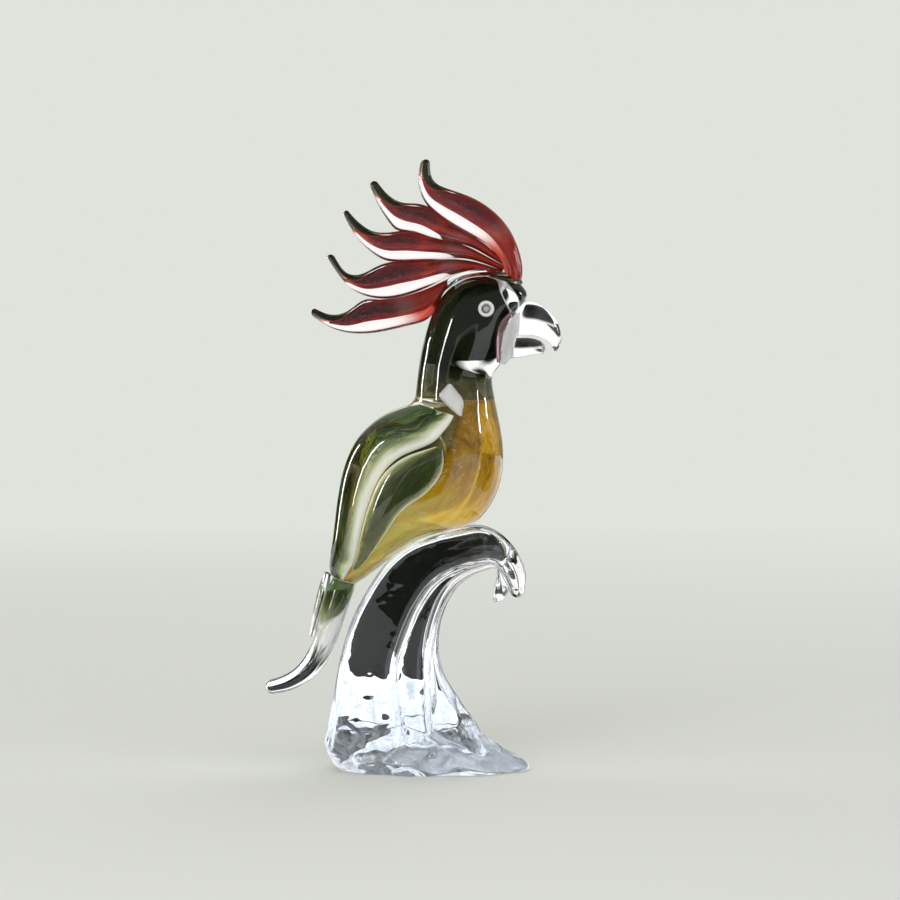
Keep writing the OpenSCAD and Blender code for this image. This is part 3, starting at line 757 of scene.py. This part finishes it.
def stretched(tree, source, scale):
    """A texture vector scaled differently along and across."""
    mapping = node_of(tree, "Mapping")
    feed(mapping, "Scale", scale)
    feed(mapping, "Vector", source)
    return mapping.outputs["Vector"]


def noise_of(tree, vector, scale, detail=3.0, twist=0.0):
    noise = node_of(tree, "TexNoise")
    feed(noise, "Scale", scale)
    feed(noise, "Detail", detail)
    feed(noise, "Distortion", twist)
    feed(noise, "Vector", vector)
    return noise.outputs["Fac"]


def object_place(tree):
    return node_of(tree, "TexCoord").outputs["Object"]


def attribute_of(tree, name, output):
    return node_of(tree, "Attribute", attribute_name=name).outputs[output]


def math_of(tree, operation, *values):
    """A math node over a few numbers, each a plain value or another node's output."""
    node = node_of(tree, "Math", operation=operation)
    for place, value in enumerate(values):
        feed(node, place, value)
    return node.outputs[0]


def streaked(tree, grain, strength):
    """The tint, made uneven by streaks that run along the form."""
    flow = stretched(tree, attribute_of(tree, "grain", "Vector"), grain)
    streaks = noise_of(tree, flow, 1.0, 5.0, 0.5)
    swing = math_of(tree, "MULTIPLY_ADD", streaks, strength, 1 - strength / 2)
    return math_of(tree, "MULTIPLY", attribute_of(tree, "tint", "Fac"), swing)


def new_material(name):
    """A new material, with its node tree and its shader."""
    material = bpy.data.materials.new(name)
    material.use_nodes = True
    return material, material.node_tree, material.node_tree.nodes["Principled BSDF"]


def glass_material(name, stops, clarity, ior=AIR_IOR, roughness=0.0, grain=(0.05, 0.4, 0.4),
                   streaks=0.3, bump=0.0, veins=None):
    """Glass with a colour, and a share of light let through, for each depth of tint.

    The stops are [(tint, colour), ...] and the clarity is one number or [(tint, share), ...]."""
    material, tree, shader = new_material(name)
    feed(shader, "IOR", ior)
    feed(shader, "Roughness", roughness)
    depth = streaked(tree, grain, streaks)
    colour = ramp_of(tree, depth, stops)
    if veins:
        colour = veined(tree, colour, *veins)
    feed(shader, "Base Color", colour)
    if isinstance(clarity, (int, float)):
        feed(shader, "Transmission Weight", clarity)
    else:
        shares = [(place, (share, share, share)) for place, share in clarity]
        feed(shader, "Transmission Weight", ramp_of(tree, depth, shares))
    if bump:
        ripples = noise_of(tree, object_place(tree), RIPPLE_SCALE, 2.0)
        relief = node_of(tree, "Bump")
        feed(relief, "Strength", RIPPLE_STRENGTH)
        feed(relief, "Distance", bump)
        feed(relief, "Height", ripples)
        feed(shader, "Normal", relief.outputs["Normal"])
    return material


def veined(tree, colour, vein_colour, grain, strength):
    """Draws thin wisps of another colour along the form."""
    flow = stretched(tree, attribute_of(tree, "grain", "Vector"), grain)
    wisps = noise_of(tree, flow, 1.0, 3.0, 1.4)
    peak = (strength, strength, strength)
    low, middle, high = WISP_BAND
    band = ramp_of(tree, wisps, [(low, (0, 0, 0)), (middle, peak), (high, (0, 0, 0))])
    mix = node_of(tree, "Mix", data_type="RGBA")
    feed(mix, "Factor", band)
    feed(mix, "A", colour)
    feed(mix, "B", (*vein_colour, 1))
    return mix.outputs["Result"]


def plain_material(name, colour):
    """A matt, unlit surface, with its node tree and its shader."""
    material, tree, shader = new_material(name)
    feed(shader, "Base Color", (*colour, 1))
    feed(shader, "Roughness", 0.9)
    feed(shader, "Specular IOR Level", 0.1)
    feed(shader, "Emission Color", (*colour, 1))
    feed(shader, "Emission Strength", 0)
    return material, tree, shader


def fused_material():
    """Where two pieces of glass were melted together, light goes straight on."""
    material, _, shader = new_material("fused_joint")
    feed(shader, "Base Color", (1, 1, 1, 1))
    feed(shader, "Transmission Weight", 1)
    feed(shader, "IOR", SAME_IOR)
    feed(shader, "Roughness", 0)
    return material


def ground_material():
    """Ground resting face: frosted and speckled."""
    material, tree, shader = plain_material("ground_glass", (0.85, 0.88, 0.92))
    specks = noise_of(tree, object_place(tree), 160.0, 3.0)
    tint = ramp_of(tree, specks, [(0.35, (0.80, 0.85, 0.92)), (0.6, (1, 1, 1))])
    feed(shader, "Base Color", tint)
    feed(shader, "Transmission Weight", 1)
    feed(shader, "Roughness", 0.3)
    return material


FUSED = fused_material()
GROUND = ground_material()
# Pad glass: pink streaks of its own towards the rims, and a white, less clear crown that is a painted
# highlight.
PAD = glass_material(
    "pad_glass",
    [(0.35, (0.72, 0.38, 0.43)), (0.5, (0.97, 0.86, 0.88)), (0.7, (1, 1, 1))],
    [(0.45, 0.85), (0.6, 0.4)], grain=(0.06, 0.7, 0.7), streaks=1.4)
# Perch glass: its pale blue and white, less clear streaks at the lower tints are painted light.
PERCH = glass_material(
    "perch_glass",
    [(0.45, (0.56, 0.65, 0.77)), (0.6, (0.91, 0.94, 0.99)), (0.8, (1, 1, 1))],
    [(0.45, 0.55), (0.62, 1)], grain=(0.04, 0.45, 0.45), streaks=0.8, bump=0.0006)
# Tail glass: its milky white streaks, less clear at the higher tints, are a painted highlight.
TAIL = glass_material(
    "tail_glass",
    [(0.35, (1, 1, 1)), (0.5, (0.86, 0.90, 0.80)), (0.65, (1, 1, 0.97))],
    [(0.42, 1), (0.6, 0.4)], grain=(0.03, 0.7, 0.7), streaks=1.2, bump=0.0006)
CLEAR = glass_material("clear_glass", [(0.6, (0.95, 0.97, 0.97)), (1, (1, 1, 1))], 1, bump=0.0006)
CASING = glass_material(
    "casing_glass", [(0.6, (0.93, 0.95, 0.88)), (1, (0.99, 1, 0.97))], 1, bump=0.0004)
# Feather glass: the near-black stops at the deepest tints are painted shade on the tips; the reds are the
# glass's own colour.
FEATHER = glass_material(
    "feather_glass",
    [(0, (1, 0.97, 0.96)), (0.2, (0.97, 0.82, 0.80)), (0.5, (0.70, 0.13, 0.09)),
     (0.68, (0.50, 0.05, 0.03)), (0.85, (0.05, 0.05, 0.02)), (1, (0.02, 0.025, 0.01))],
    [(0.1, 1), (1, 0.75)], grain=(0.05, 0.6, 0.6), streaks=0.5, bump=0.0003)
# Green glass: its near-white, less clear stop at the lowest tint is a painted highlight along the lobes'
# rims; the greens are its own colour.
GREEN = glass_material(
    "green_glass",
    [(0.2, (0.97, 0.98, 0.88)), (0.45, (0.60, 0.70, 0.38)), (0.7, (0.11, 0.19, 0.07)),
     (1, (0.02, 0.045, 0.025))],
    [(0.2, 0.3), (0.45, 0.75), (1, 0.8)], grain=(0.03, 0.25, 0.25), streaks=0.6, bump=0.0003,
    veins=((0.72, 0.80, 0.50), (0.04, 0.35, 0.35), 0.4))
# Sage glass: its near-white, less clear stop at the lowest tint is a painted highlight along the lobes'
# rims and at the end of the tail's green.
SAGE = glass_material(
    "sage_glass",
    [(0.1, (0.97, 0.98, 0.88)), (0.4, (0.64, 0.70, 0.34)), (0.8, (0.20, 0.26, 0.09)),
     (1, (0.08, 0.12, 0.04))],
    [(0.15, 0.4), (0.4, 0.75), (1, 0.75)], grain=(0.06, 0.6, 0.6), streaks=0.9, bump=0.0004)
AMBER = glass_material(
    "amber_glass",
    [(0, (1, 1, 1)), (0.15, (0.78, 0.72, 0.25)), (0.35, (0.42, 0.24, 0.03)),
     (0.55, (0.78, 0.42, 0.02)), (0.8, (1, 0.66, 0.02)), (1, (1, 0.84, 0.12))],
    [(0, 1), (0.2, 0.75), (0.5, 0.5)], SAME_IOR, 0.2, grain=(0.05, 0.5, 0.5), streaks=1.3,
    veins=((1, 0.92, 0.50), (0.05, 0.5, 0.5), 0.9))
OLIVE = glass_material(
    "olive_glass",
    [(0, (0.95, 0.90, 0.62)), (0.2, (0.26, 0.23, 0.10)), (0.5, (0.075, 0.085, 0.030)),
     (1, (0.018, 0.026, 0.010))],
    [(0, 0.8), (0.3, 0.5)], SAME_IOR, 0.15, grain=(0.03, 0.6, 0.6), streaks=1.1)
RED = glass_material(
    "red_glass",
    [(0, (0.66, 0.09, 0.05)), (0.35, (0.36, 0.05, 0.055)), (0.7, (0.15, 0.045, 0.05)),
     (1, (0.08, 0.03, 0.035))],
    0.5, SAME_IOR, 0.2, grain=(0.03, 0.9, 0.9), streaks=0.7,
    veins=((0.85, 0.38, 0.30), (0.05, 0.8, 0.8), 0.35))
# Tab glass: the dark stop at the rim is a painted dark outline (painted shade), and the white crown is a
# painted highlight.
TAB = glass_material(
    "tab_glass",
    [(0.15, (0.10, 0.11, 0.13)), (0.3, (0.45, 0.47, 0.52)), (0.5, (0.95, 0.96, 1)), (1, (1, 1, 1))],
    0.5, grain=(0.12, 0.5, 0.5), streaks=1.4)
EYE = glass_material(
    "eye_glass", [(0.5, (0.80, 0.80, 0.78)), (1, (0.97, 0.97, 0.96))], 0.35, roughness=0.05)
# Pupil glass: its near-black stop at the lowest tint is the painted shade of the dark ring round the
# pupil.
PUPIL = glass_material(
    "pupil_glass",
    [(0.1, (0.01, 0.01, 0.01)), (0.3, (0.30, 0.28, 0.27)), (1, (0.52, 0.48, 0.46))],
    0.2, roughness=0.05)

# ---- Pieces ----

BODY_TABLE = fair(deepened(BODY_ROWS, BODY_HALF))
TAIL_TABLE = fair(TAIL_LONG_ROWS)

# Rear limit of the amber in side view, as [height, x]
AMBER_LIMIT = [
    [96, -33], [105, -29], [119, -20], [126, -14], [134, -3], [140, 7], [152, 13], [170, 20], [183, 22],
]
AMBER_BLEND = 5         # width over which the amber fades out
BROWN_LINE = (160, 0.4) # height at x 0, and fall to the front, of the line where amber turns brown
BROWN_RUN = (-10, 50)   # depth below that line over which it does
RING_RUN, NECK_RUN = (0.3, 1.5), (6, 22)        # runs up the neck over which its two tints come in
CORE_RUN = (4, 26)      # run over which a red core turns brown
CORE_SPREAD = 0.45      # the lower, the wider a red core's brown middle
TAIL_RIDGE = 0.9        # how much sharper the long tail feather's crown gets towards its tip
RIDGE_ROWS = (2.5, 5)   # rows over which it does so
TAIL_HIGHLIGHT, TAIL_CLEAR = 0.6, 0.3       # tints at which tail glass has white streaks of painted highlight, and is clear
TAIL_RUN = (30, 50)     # run over which the painted highlight streaks give way to clear glass
RED_RUN = (12, 38.4)    # run over which the red of a feather's root goes over into clear glass
ROOT_TINT = 0.62        # the tint at which feather glass is red
TIP_SHADE_WIDTH = 0.95      # how far the painted shade spreads over a feather at its very tip
TIP_SHADE_START, TIP_SHADE_FULL = 0.55, 0.7     # shares of a feather's length where the painted shade starts and is full
TIP_SHADE_EDGE = (1.1, 1.3) # soft edge of the painted shade across a feather, before it spreads


def run_along(points):
    """Distance of each ring from the first, along the middle of the form."""
    return grain_of(points)[:, :, 0]


def amber_tint(points):
    """Amber at the breast, browner to the top, and none under the wings."""
    x, z = points[:, :, 0], points[:, :, 2]
    limit = np.interp(z, *np.array(AMBER_LIMIT).T)
    amount = ramped(x - limit, -AMBER_BLEND, AMBER_BLEND)
    height, fall = BROWN_LINE
    return amount * (0.5 + 0.5 * ramped(height - z - fall * x, *BROWN_RUN))


def olive_tint(points):
    """A pale ring at the foot of the neck, then browner, then near black glass."""
    run = run_along(points)
    return 0.35 * ramped(run, *RING_RUN) + 0.65 * ramped(run, *NECK_RUN)


def red_tint(points):
    """Red at both edges of a core, and brown along its middle."""
    across = np.abs(grain_of(points)[:, :, 1])
    middle = 1 - across / across.max(axis=1, keepdims=True)
    return middle ** CORE_SPREAD * ramped(run_along(points), *CORE_RUN)


def feather_tint(points):
    """Red through at a feather's root, clear beyond, and darkened by painted shade along the leading side
    of its tip.
    """
    run = run_along(points)
    red = ROOT_TINT * (1 - ramped(run, *RED_RUN))
    share = run / run.max()
    sides = points.shape[1]
    lead = (1 + np.cos(2 * np.pi * np.arange(sides) / sides))[None, :] / 2
    # Painted shade: a dark band over the leading side of the tip, widening towards its end.
    tip_shade = TIP_SHADE_WIDTH * ramped(share, TIP_SHADE_START, 1)
    edge = ramped(lead, *[place - tip_shade for place in TIP_SHADE_EDGE])
    tip = edge * ramped(share, TIP_SHADE_START, TIP_SHADE_FULL)
    return np.maximum(red, tip)


def make_perch():
    wave, foot = perch_wave_points(), perch_foot_points()
    mesh_piece("perch_wave", [PERCH, FUSED], wave,
               ("fused", "skin"), tint=perch_tint(wave))
    mesh_piece("perch_foot", [PERCH, FUSED, GROUND], foot,
               ("ground", "fused"), tint=perch_tint(foot))
    form("perch_curl_drop", CLEAR, DROP_ROWS, start=0.3)


def make_casing():
    table = rounded(BODY_TABLE, 0, 0.5)
    degrees = np.arange(BODY_SIDES) * 360 / BODY_SIDES
    places = np.arange(len(table)) / ROW_STEPS
    laid_on = [(COVERT_SPAN, (1, -1)), (FLIGHT_SPAN, (1, -1)), (TAB_SPAN, (1, -1)), (PAD_SPAN, (1,))]
    mesh_piece("bird_casing", [CASING, FUSED], section(table, degrees),
               ("fused", "skin"), under_lobes(places, degrees, laid_on))


def make_body_cores():
    sides = BODY_SIDES // 2
    form("breast_core", AMBER, BREAST_CORE_ROWS, sides, 0, 0, amber_tint)
    form("neck_core", OLIVE, NECK_CORE_ROWS, sides, 0, 0.4, olive_tint)


def make_lobes():
    plain = {"fade": (1, 1), "crown_share": CROWN_SHARE, "bands": PLAIN_BANDS}
    covert = {**plain, "crown_share": COVERT_ROUND, "bands": COVERT_BANDS}
    flight = {**plain, "bands": FLIGHT_BANDS}
    tab = {**plain, "crown_share": TAB_CREASE, "bands": TAB_BANDS}
    green = {**plain, "fade": TAIL_GREEN_FADE}
    kinds = [
        ("wing_covert", "green_glass", GREEN, BODY_TABLE, COVERT_SPAN, COVERT_LIFT, covert),
        ("wing_flight", "sage_glass", SAGE, BODY_TABLE, FLIGHT_SPAN, FLIGHT_LIFT, flight),
        ("shoulder_tab", "clear_glass", TAB, BODY_TABLE, TAB_SPAN, TAB_LIFT, tab),
        ("tail_feather_green", "sage_glass", SAGE, TAIL_TABLE, TAIL_GREEN_SPAN, TAIL_GREEN_LIFT, green),
    ]
    for side in ("left", "right"):
        for kind, *basics, shape in kinds:
            lobe(f"{kind}_{side}", *basics, right=side == "right", **shape)
    lobe("face_pad", "clear_glass", PAD, BODY_TABLE, PAD_SPAN, PAD_LIFT, right=False, **plain)


def make_tail():
    table = rounded(TAIL_TABLE, 0, 0.9)
    degrees = np.arange(SMALL_SIDES * 2) * 180 / SMALL_SIDES
    places = np.arange(len(table)) / ROW_STEPS
    hidden = under_lobes(places, degrees, [(TAIL_GREEN_SPAN, (1, -1))])
    ridge = 1 + TAIL_RIDGE * ramped(places, *RIDGE_ROWS)[:, None]
    points = section(table, degrees, 0, ridge)
    # White streaks of painted highlight near the root, clear glass towards the tip.
    white = 1 - ramped(run_along(points), *TAIL_RUN)
    tint = TAIL_CLEAR + (TAIL_HIGHLIGHT - TAIL_CLEAR) * white
    mesh_piece("tail_feather_long", [TAIL, FUSED], points,
               ("fused", "skin"), hidden, tint)
    form("tail_feather_short", CLEAR, TAIL_SHORT_ROWS, start=0.4, end=1)


def make_crest():
    form("crest_root", CLEAR, CREST_ROOT_ROWS, start=0.5, end=0.5)
    scale = FEATHER_HALF / max(row[4] for row in FEATHERS[0])
    for i, rows in enumerate(FEATHERS, 1):
        rows = scaled_depth(rows, scale)
        form(f"crest_feather_{i}", FEATHER, rows, FEATHER_SIDES, 0.3, 1, feather_tint)
        core_rows = to_lead(inset(rows[:CORE_LAST + 1], FEATHER_SKIN), CORE_SHARE)
        form(f"crest_core_{i}", RED, core_rows, FEATHER_SIDES, 0, 0.8, red_tint)


def make_beak():
    scale = BEAK_HALF / max(row[4] for row in BEAK_UPPER_ROWS)
    for name, rows, end in (("upper", BEAK_UPPER_ROWS, 0.8), ("lower", BEAK_LOWER_ROWS, 0.6)):
        form(f"beak_{name}", CLEAR, scaled_depth(rows, scale), SMALL_SIDES, 0.2, end)


def bead_points(profile, right):
    """Rings of a bead turned about the eye's axis. The profile is [(radius, height), ...]."""
    low, high = EYE_BOX
    x, y, z = (low.x + high.x) / 2, low.y, (low.z + high.z) / 2
    a = np.radians(np.arange(SMALL_SIDES) * 360 / SMALL_SIDES)
    rings = []
    for radius, height in profile:
        level = np.full(len(a), y + height)
        rings.append(np.stack([x + radius * np.cos(a), level, z + radius * np.sin(a)], axis=1))
    points = np.array(rings)
    return mirrored(points) if right else points


def arc(centre, radius, height, start, end, count=10):
    """Points of an elliptical arc in a bead's profile, with angles in degrees."""
    a = np.radians(np.linspace(start, end, count))
    return [(centre[0] + radius * math.cos(t), centre[1] + height * math.sin(t)) for t in a]


def make_eyes():
    radius = (EYE_BOX[1].x - EYE_BOX[0].x) / 2
    seat = radius * PUPIL_SHARE
    brim = (radius + seat) / 2
    rim = arc((brim, 0), radius - brim, RIM_RISE, 0, 180)
    ring = [(POLE, -0.2), (radius * 0.98, -0.2)] + rim + [(seat, 0.4), (POLE, 0.4)]
    dome = [(POLE, 0.5), (seat * 0.9, 0.5)] + arc((0, 0.9), seat * 0.92, PUPIL_RISE, 0, 89)
    # Tint of the pupil: grey in the middle, near black at its edge, where the dark ring is painted shade.
    depth = np.array([[1 - r / seat] for r, _ in dome])
    for side in ("left", "right"):
        right = side == "right"
        mesh_piece(f"eye_{side}", [EYE], bead_points(ring, right))
        mesh_piece(f"pupil_{side}", [PUPIL], bead_points(dome, right), tint=depth)


# ---- Stage ----

STUDIO = 1.05           # brightness of the studio as seen through the glass
MIRRORED_STUDIO = 0.3   # the same as mirrored by the glass
BACKDROP = (0.74, 0.77, 0.71)
FLOOR = (0.62, 0.63, 0.60)
FLOOR_GLOW = (0.07, 0.073, 0.065)
DARK_CORNER = (-0.55, 0.83, 0.0)     # way to a dark patch of the studio, behind on the left
LIGHT_AIM = (0, 0, 0.16)
STRIP_GAP = 0.9         # how far the narrow lights stand from the object
FLOOR_REACH = 1.6       # where the floor has become the backdrop
TABLE_GLOW = 0.95
FLAG_GAP = 0.3          # how far the dark flags stand from the object
FLAG_Y, FLAG_X = (0.135, 0.235), (0.11, 0.235)      # half width and height of their dark parts
FLAG_FOOT = 0.0005      # height of their lower edges
FLAG_SQUARE = 5         # squareness of the outline of their dark parts
SOFTBOXES = [           # place, size and power in watts
    ("softbox_top", (0, 0, 1.3), (1.2, 1.2), 4),
    ("softbox_front", (-0.5, -1.4, 0.9), (0.9, 0.9), 9),
    ("softbox_back", (0.5, 1.4, 0.9), (0.9, 0.9), 3),
]
STRIPS = [(-58, 3), (76, 2.5)]          # degrees round the object, and power in watts
STRIP_SIZE, STRIP_HEIGHT = (0.05, 0.5), 0.32
CAMERA_DISTANCE = 1.7
CAMERA_RISE = 3         # degrees by which it looks down
CAMERA_AIM = (17.95, 0, 157.4)          # in the design's millimetres, like the width of the view
VIEW_WIDTH = 442.6
SENSOR_WIDTH = 36
BOUNCES = 32


def stage_plane(name, centre, half_u, half_v, material, camera):
    """A flat rectangle of the studio, from its centre and two half sides."""
    centre, half_u, half_v = Vector(centre), Vector(half_u), Vector(half_v)
    corners = [centre + half_u * u + half_v * v for u, v in ((-1, -1), (1, -1), (1, 1), (-1, 1))]
    mesh = bpy.data.meshes.new(name)
    mesh.from_pydata([list(c) for c in corners], [], [(0, 1, 2, 3)])
    mesh.materials.append(material)
    plane = bpy.data.objects.new(name, mesh)
    bpy.context.scene.collection.objects.link(plane)
    plane.visible_camera = camera
    plane.visible_diffuse = camera
    plane.visible_shadow = camera
    plane.visible_transmission = not camera
    plane.visible_glossy = not camera


def flag_material(name, axis, half_width, height):
    """Black panel that turns white outside a rounded outline, softly."""
    material, tree, shader = plain_material(name, (0.004, 0.005, 0.003))
    parts = node_of(tree, "SeparateXYZ")
    feed(parts, 0, object_place(tree))
    side = math_of(tree, "ABSOLUTE", math_of(tree, "DIVIDE", parts.outputs[axis], half_width))
    rise = math_of(tree, "ABSOLUTE", math_of(tree, "DIVIDE", parts.outputs["Z"], height))
    powers = [math_of(tree, "POWER", share, FLAG_SQUARE) for share in (side, rise)]
    reach = math_of(tree, "ADD", *powers)
    glow = ramp_of(tree, reach, [(0.55, (0, 0, 0)), (1.0, (1, 1, 0.98))])
    feed(shader, "Emission Color", glow)
    feed(shader, "Emission Strength", STUDIO)
    return material


def table_material():
    """White table with soft pale blue and grey clouds."""
    material, tree, shader = plain_material("white_table", (0.85, 0.89, 0.95))
    clouds = noise_of(tree, object_place(tree), 22.0, 4.0, 0.8)
    stops = [(0.35, (0.45, 0.53, 0.66)), (0.5, (0.90, 0.93, 0.97)), (0.65, (1, 1, 1))]
    feed(shader, "Emission Color", ramp_of(tree, clouds, stops))
    feed(shader, "Emission Strength", TABLE_GLOW)
    return material


def floor_material():
    """Pale floor that runs out into the backdrop without an edge."""
    material, tree, shader = plain_material("pale_floor", FLOOR)
    far = node_of(tree, "VectorMath", operation="LENGTH")
    feed(far, 0, object_place(tree))
    share = math_of(tree, "DIVIDE", far.outputs["Value"], FLOOR_REACH)
    shade = ramp_of(tree, share, [(0.15, FLOOR), (1.0, (0, 0, 0))])
    feed(shader, "Base Color", shade)
    glow = ramp_of(tree, share, [(0.15, FLOOR_GLOW), (1.0, BACKDROP)])
    feed(shader, "Emission Color", glow)
    feed(shader, "Emission Strength", 1)
    feed(shader, "Specular IOR Level", 0)
    return material


def make_stage():
    """Pale floor for the camera; a white table and dark flags that only the glass sees."""
    stage_plane("studio_floor", (0, 0, -0.0004), (12, 0, 0), (0, 12, 0), floor_material(), True)
    stage_plane("studio_table", (0, 0, -0.0008), (2.5, 0, 0), (0, 2.5, 0), table_material(), False)
    dark_x = flag_material("dark_flag_y", "X", *FLAG_Y)
    dark_y = flag_material("dark_flag_x", "Y", *FLAG_X)
    for turn in (1, -1):
        make_flag(f"y{turn}", Vector((0, FLAG_GAP * turn, 0)), Vector((1, 0, 0)), *FLAG_Y, dark_x)
        make_flag(f"x{turn}", Vector((FLAG_GAP * turn, 0, 0)), Vector((0, 1, 0)), *FLAG_X, dark_y)


def make_flag(name, away, along, half_width, height, material):
    """A dark flag on one side of the object, wide along one axis."""
    rise = Vector((0, 0, height / 2))
    centre = away + Vector((0, 0, FLAG_FOOT)) + rise
    stage_plane(f"studio_flag_{name}", centre, along * half_width, rise, material, False)


def make_light(name, place, size, power, glossy=False):
    data = bpy.data.lights.new(name, "AREA")
    data.shape = "RECTANGLE"
    data.size, data.size_y = size
    data.energy = power
    light = bpy.data.objects.new(name, data)
    bpy.context.scene.collection.objects.link(light)
    light.location = place
    light.rotation_euler = (Vector(LIGHT_AIM) - Vector(place)).to_track_quat("-Z", "Y").to_euler()
    light.visible_camera = False
    light.visible_transmission = False
    light.visible_glossy = glossy
    light.visible_diffuse = not glossy


def make_lights():
    """Soft light for the coloured glass, and tall narrow lights for the streaks on its surface."""
    for softbox in SOFTBOXES:
        make_light(*softbox)
    for turn in (1, -1):
        for degrees, power in STRIPS:
            a = math.radians(degrees)
            place = (STRIP_GAP * math.sin(a), -STRIP_GAP * math.cos(a) * turn, STRIP_HEIGHT)
            make_light(f"strip_{degrees}_{turn}", place, STRIP_SIZE, power, True)


def multiplied(tree, first, second):
    """The product of two colours."""
    mix = node_of(tree, "Mix", data_type="RGBA", blend_type="MULTIPLY")
    feed(mix, "Factor", 1)
    feed(mix, "A", first)
    feed(mix, "B", second)
    return mix.outputs["Result"]


def make_world():
    """Pale backdrop to the camera; to glass, a bright studio, dark at both sides and overhead."""
    world = bpy.data.worlds.new("studio")
    bpy.context.scene.world = world
    world.use_nodes = True
    tree = world.node_tree
    tree.nodes.clear()
    way = node_of(tree, "TexCoord").outputs["Generated"]
    parts = node_of(tree, "SeparateXYZ")
    feed(parts, 0, way)
    x, y, z = (math_of(tree, "ABSOLUTE", parts.outputs[axis]) for axis in "XYZ")
    turn = math_of(tree, "DIVIDE", math_of(tree, "ARCTAN2", x, y), math.pi / 2)
    white = (1, 1, 1)
    around = ramp_of(tree, turn, [
        (0.0, white), (0.72, white), (0.82, (0.04, 0.045, 0.04)), (1.0, (0.02, 0.02, 0.02))])
    above = ramp_of(tree, z, [(0.0, white), (0.8, (1, 1, 0.98)), (0.93, (0.03, 0.03, 0.03))])
    patch = node_of(tree, "VectorMath", operation="DISTANCE")
    feed(patch, 0, way)
    feed(patch, 1, DARK_CORNER)
    corner = ramp_of(tree, patch.outputs["Value"], [(0.30, (0.02, 0.025, 0.015)), (0.38, white)])
    studio = node_of(tree, "Background")
    feed(studio, "Color", multiplied(tree, multiplied(tree, around, above), corner))
    backdrop = node_of(tree, "Background")
    feed(backdrop, "Color", (*BACKDROP, 1))
    seen = node_of(tree, "LightPath")
    bounced, glossy = seen.outputs["Is Reflection Ray"], seen.outputs["Is Glossy Ray"]
    mirror = math_of(tree, "MULTIPLY", bounced, glossy)
    feed(studio, "Strength",
         math_of(tree, "MULTIPLY_ADD", mirror, MIRRORED_STUDIO - STUDIO, STUDIO))
    mix = node_of(tree, "MixShader")
    output = node_of(tree, "OutputWorld")
    feed(mix, 0, seen.outputs["Is Camera Ray"])
    feed(mix, 1, studio.outputs[0])
    feed(mix, 2, backdrop.outputs[0])
    feed(output, "Surface", mix.outputs[0])


def make_camera():
    """Side view from a long lens a little above the floor."""
    rise = math.radians(CAMERA_RISE)
    data = bpy.data.cameras.new("camera")
    data.sensor_width = SENSOR_WIDTH
    data.lens = SENSOR_WIDTH * CAMERA_DISTANCE / (VIEW_WIDTH * MM)
    camera = bpy.data.objects.new("camera", data)
    bpy.context.scene.collection.objects.link(camera)
    back = Vector((0, -math.cos(rise), math.sin(rise)))
    camera.location = Vector([place * MM for place in CAMERA_AIM]) + back * CAMERA_DISTANCE
    camera.rotation_euler = (-back).to_track_quat("-Z", "Y").to_euler()
    bpy.context.scene.camera = camera


def make_scene():
    make_camera()
    make_world()
    make_stage()
    make_lights()
    scene = bpy.context.scene
    scene.view_settings.view_transform = "Standard"
    scene.cycles.max_bounces = BOUNCES
    scene.cycles.transmission_bounces = BOUNCES
    scene.cycles.transparent_max_bounces = BOUNCES


make_scene()
make_perch()
make_casing()
make_body_cores()
make_lobes()
make_tail()
make_crest()
make_beak()
make_eyes()
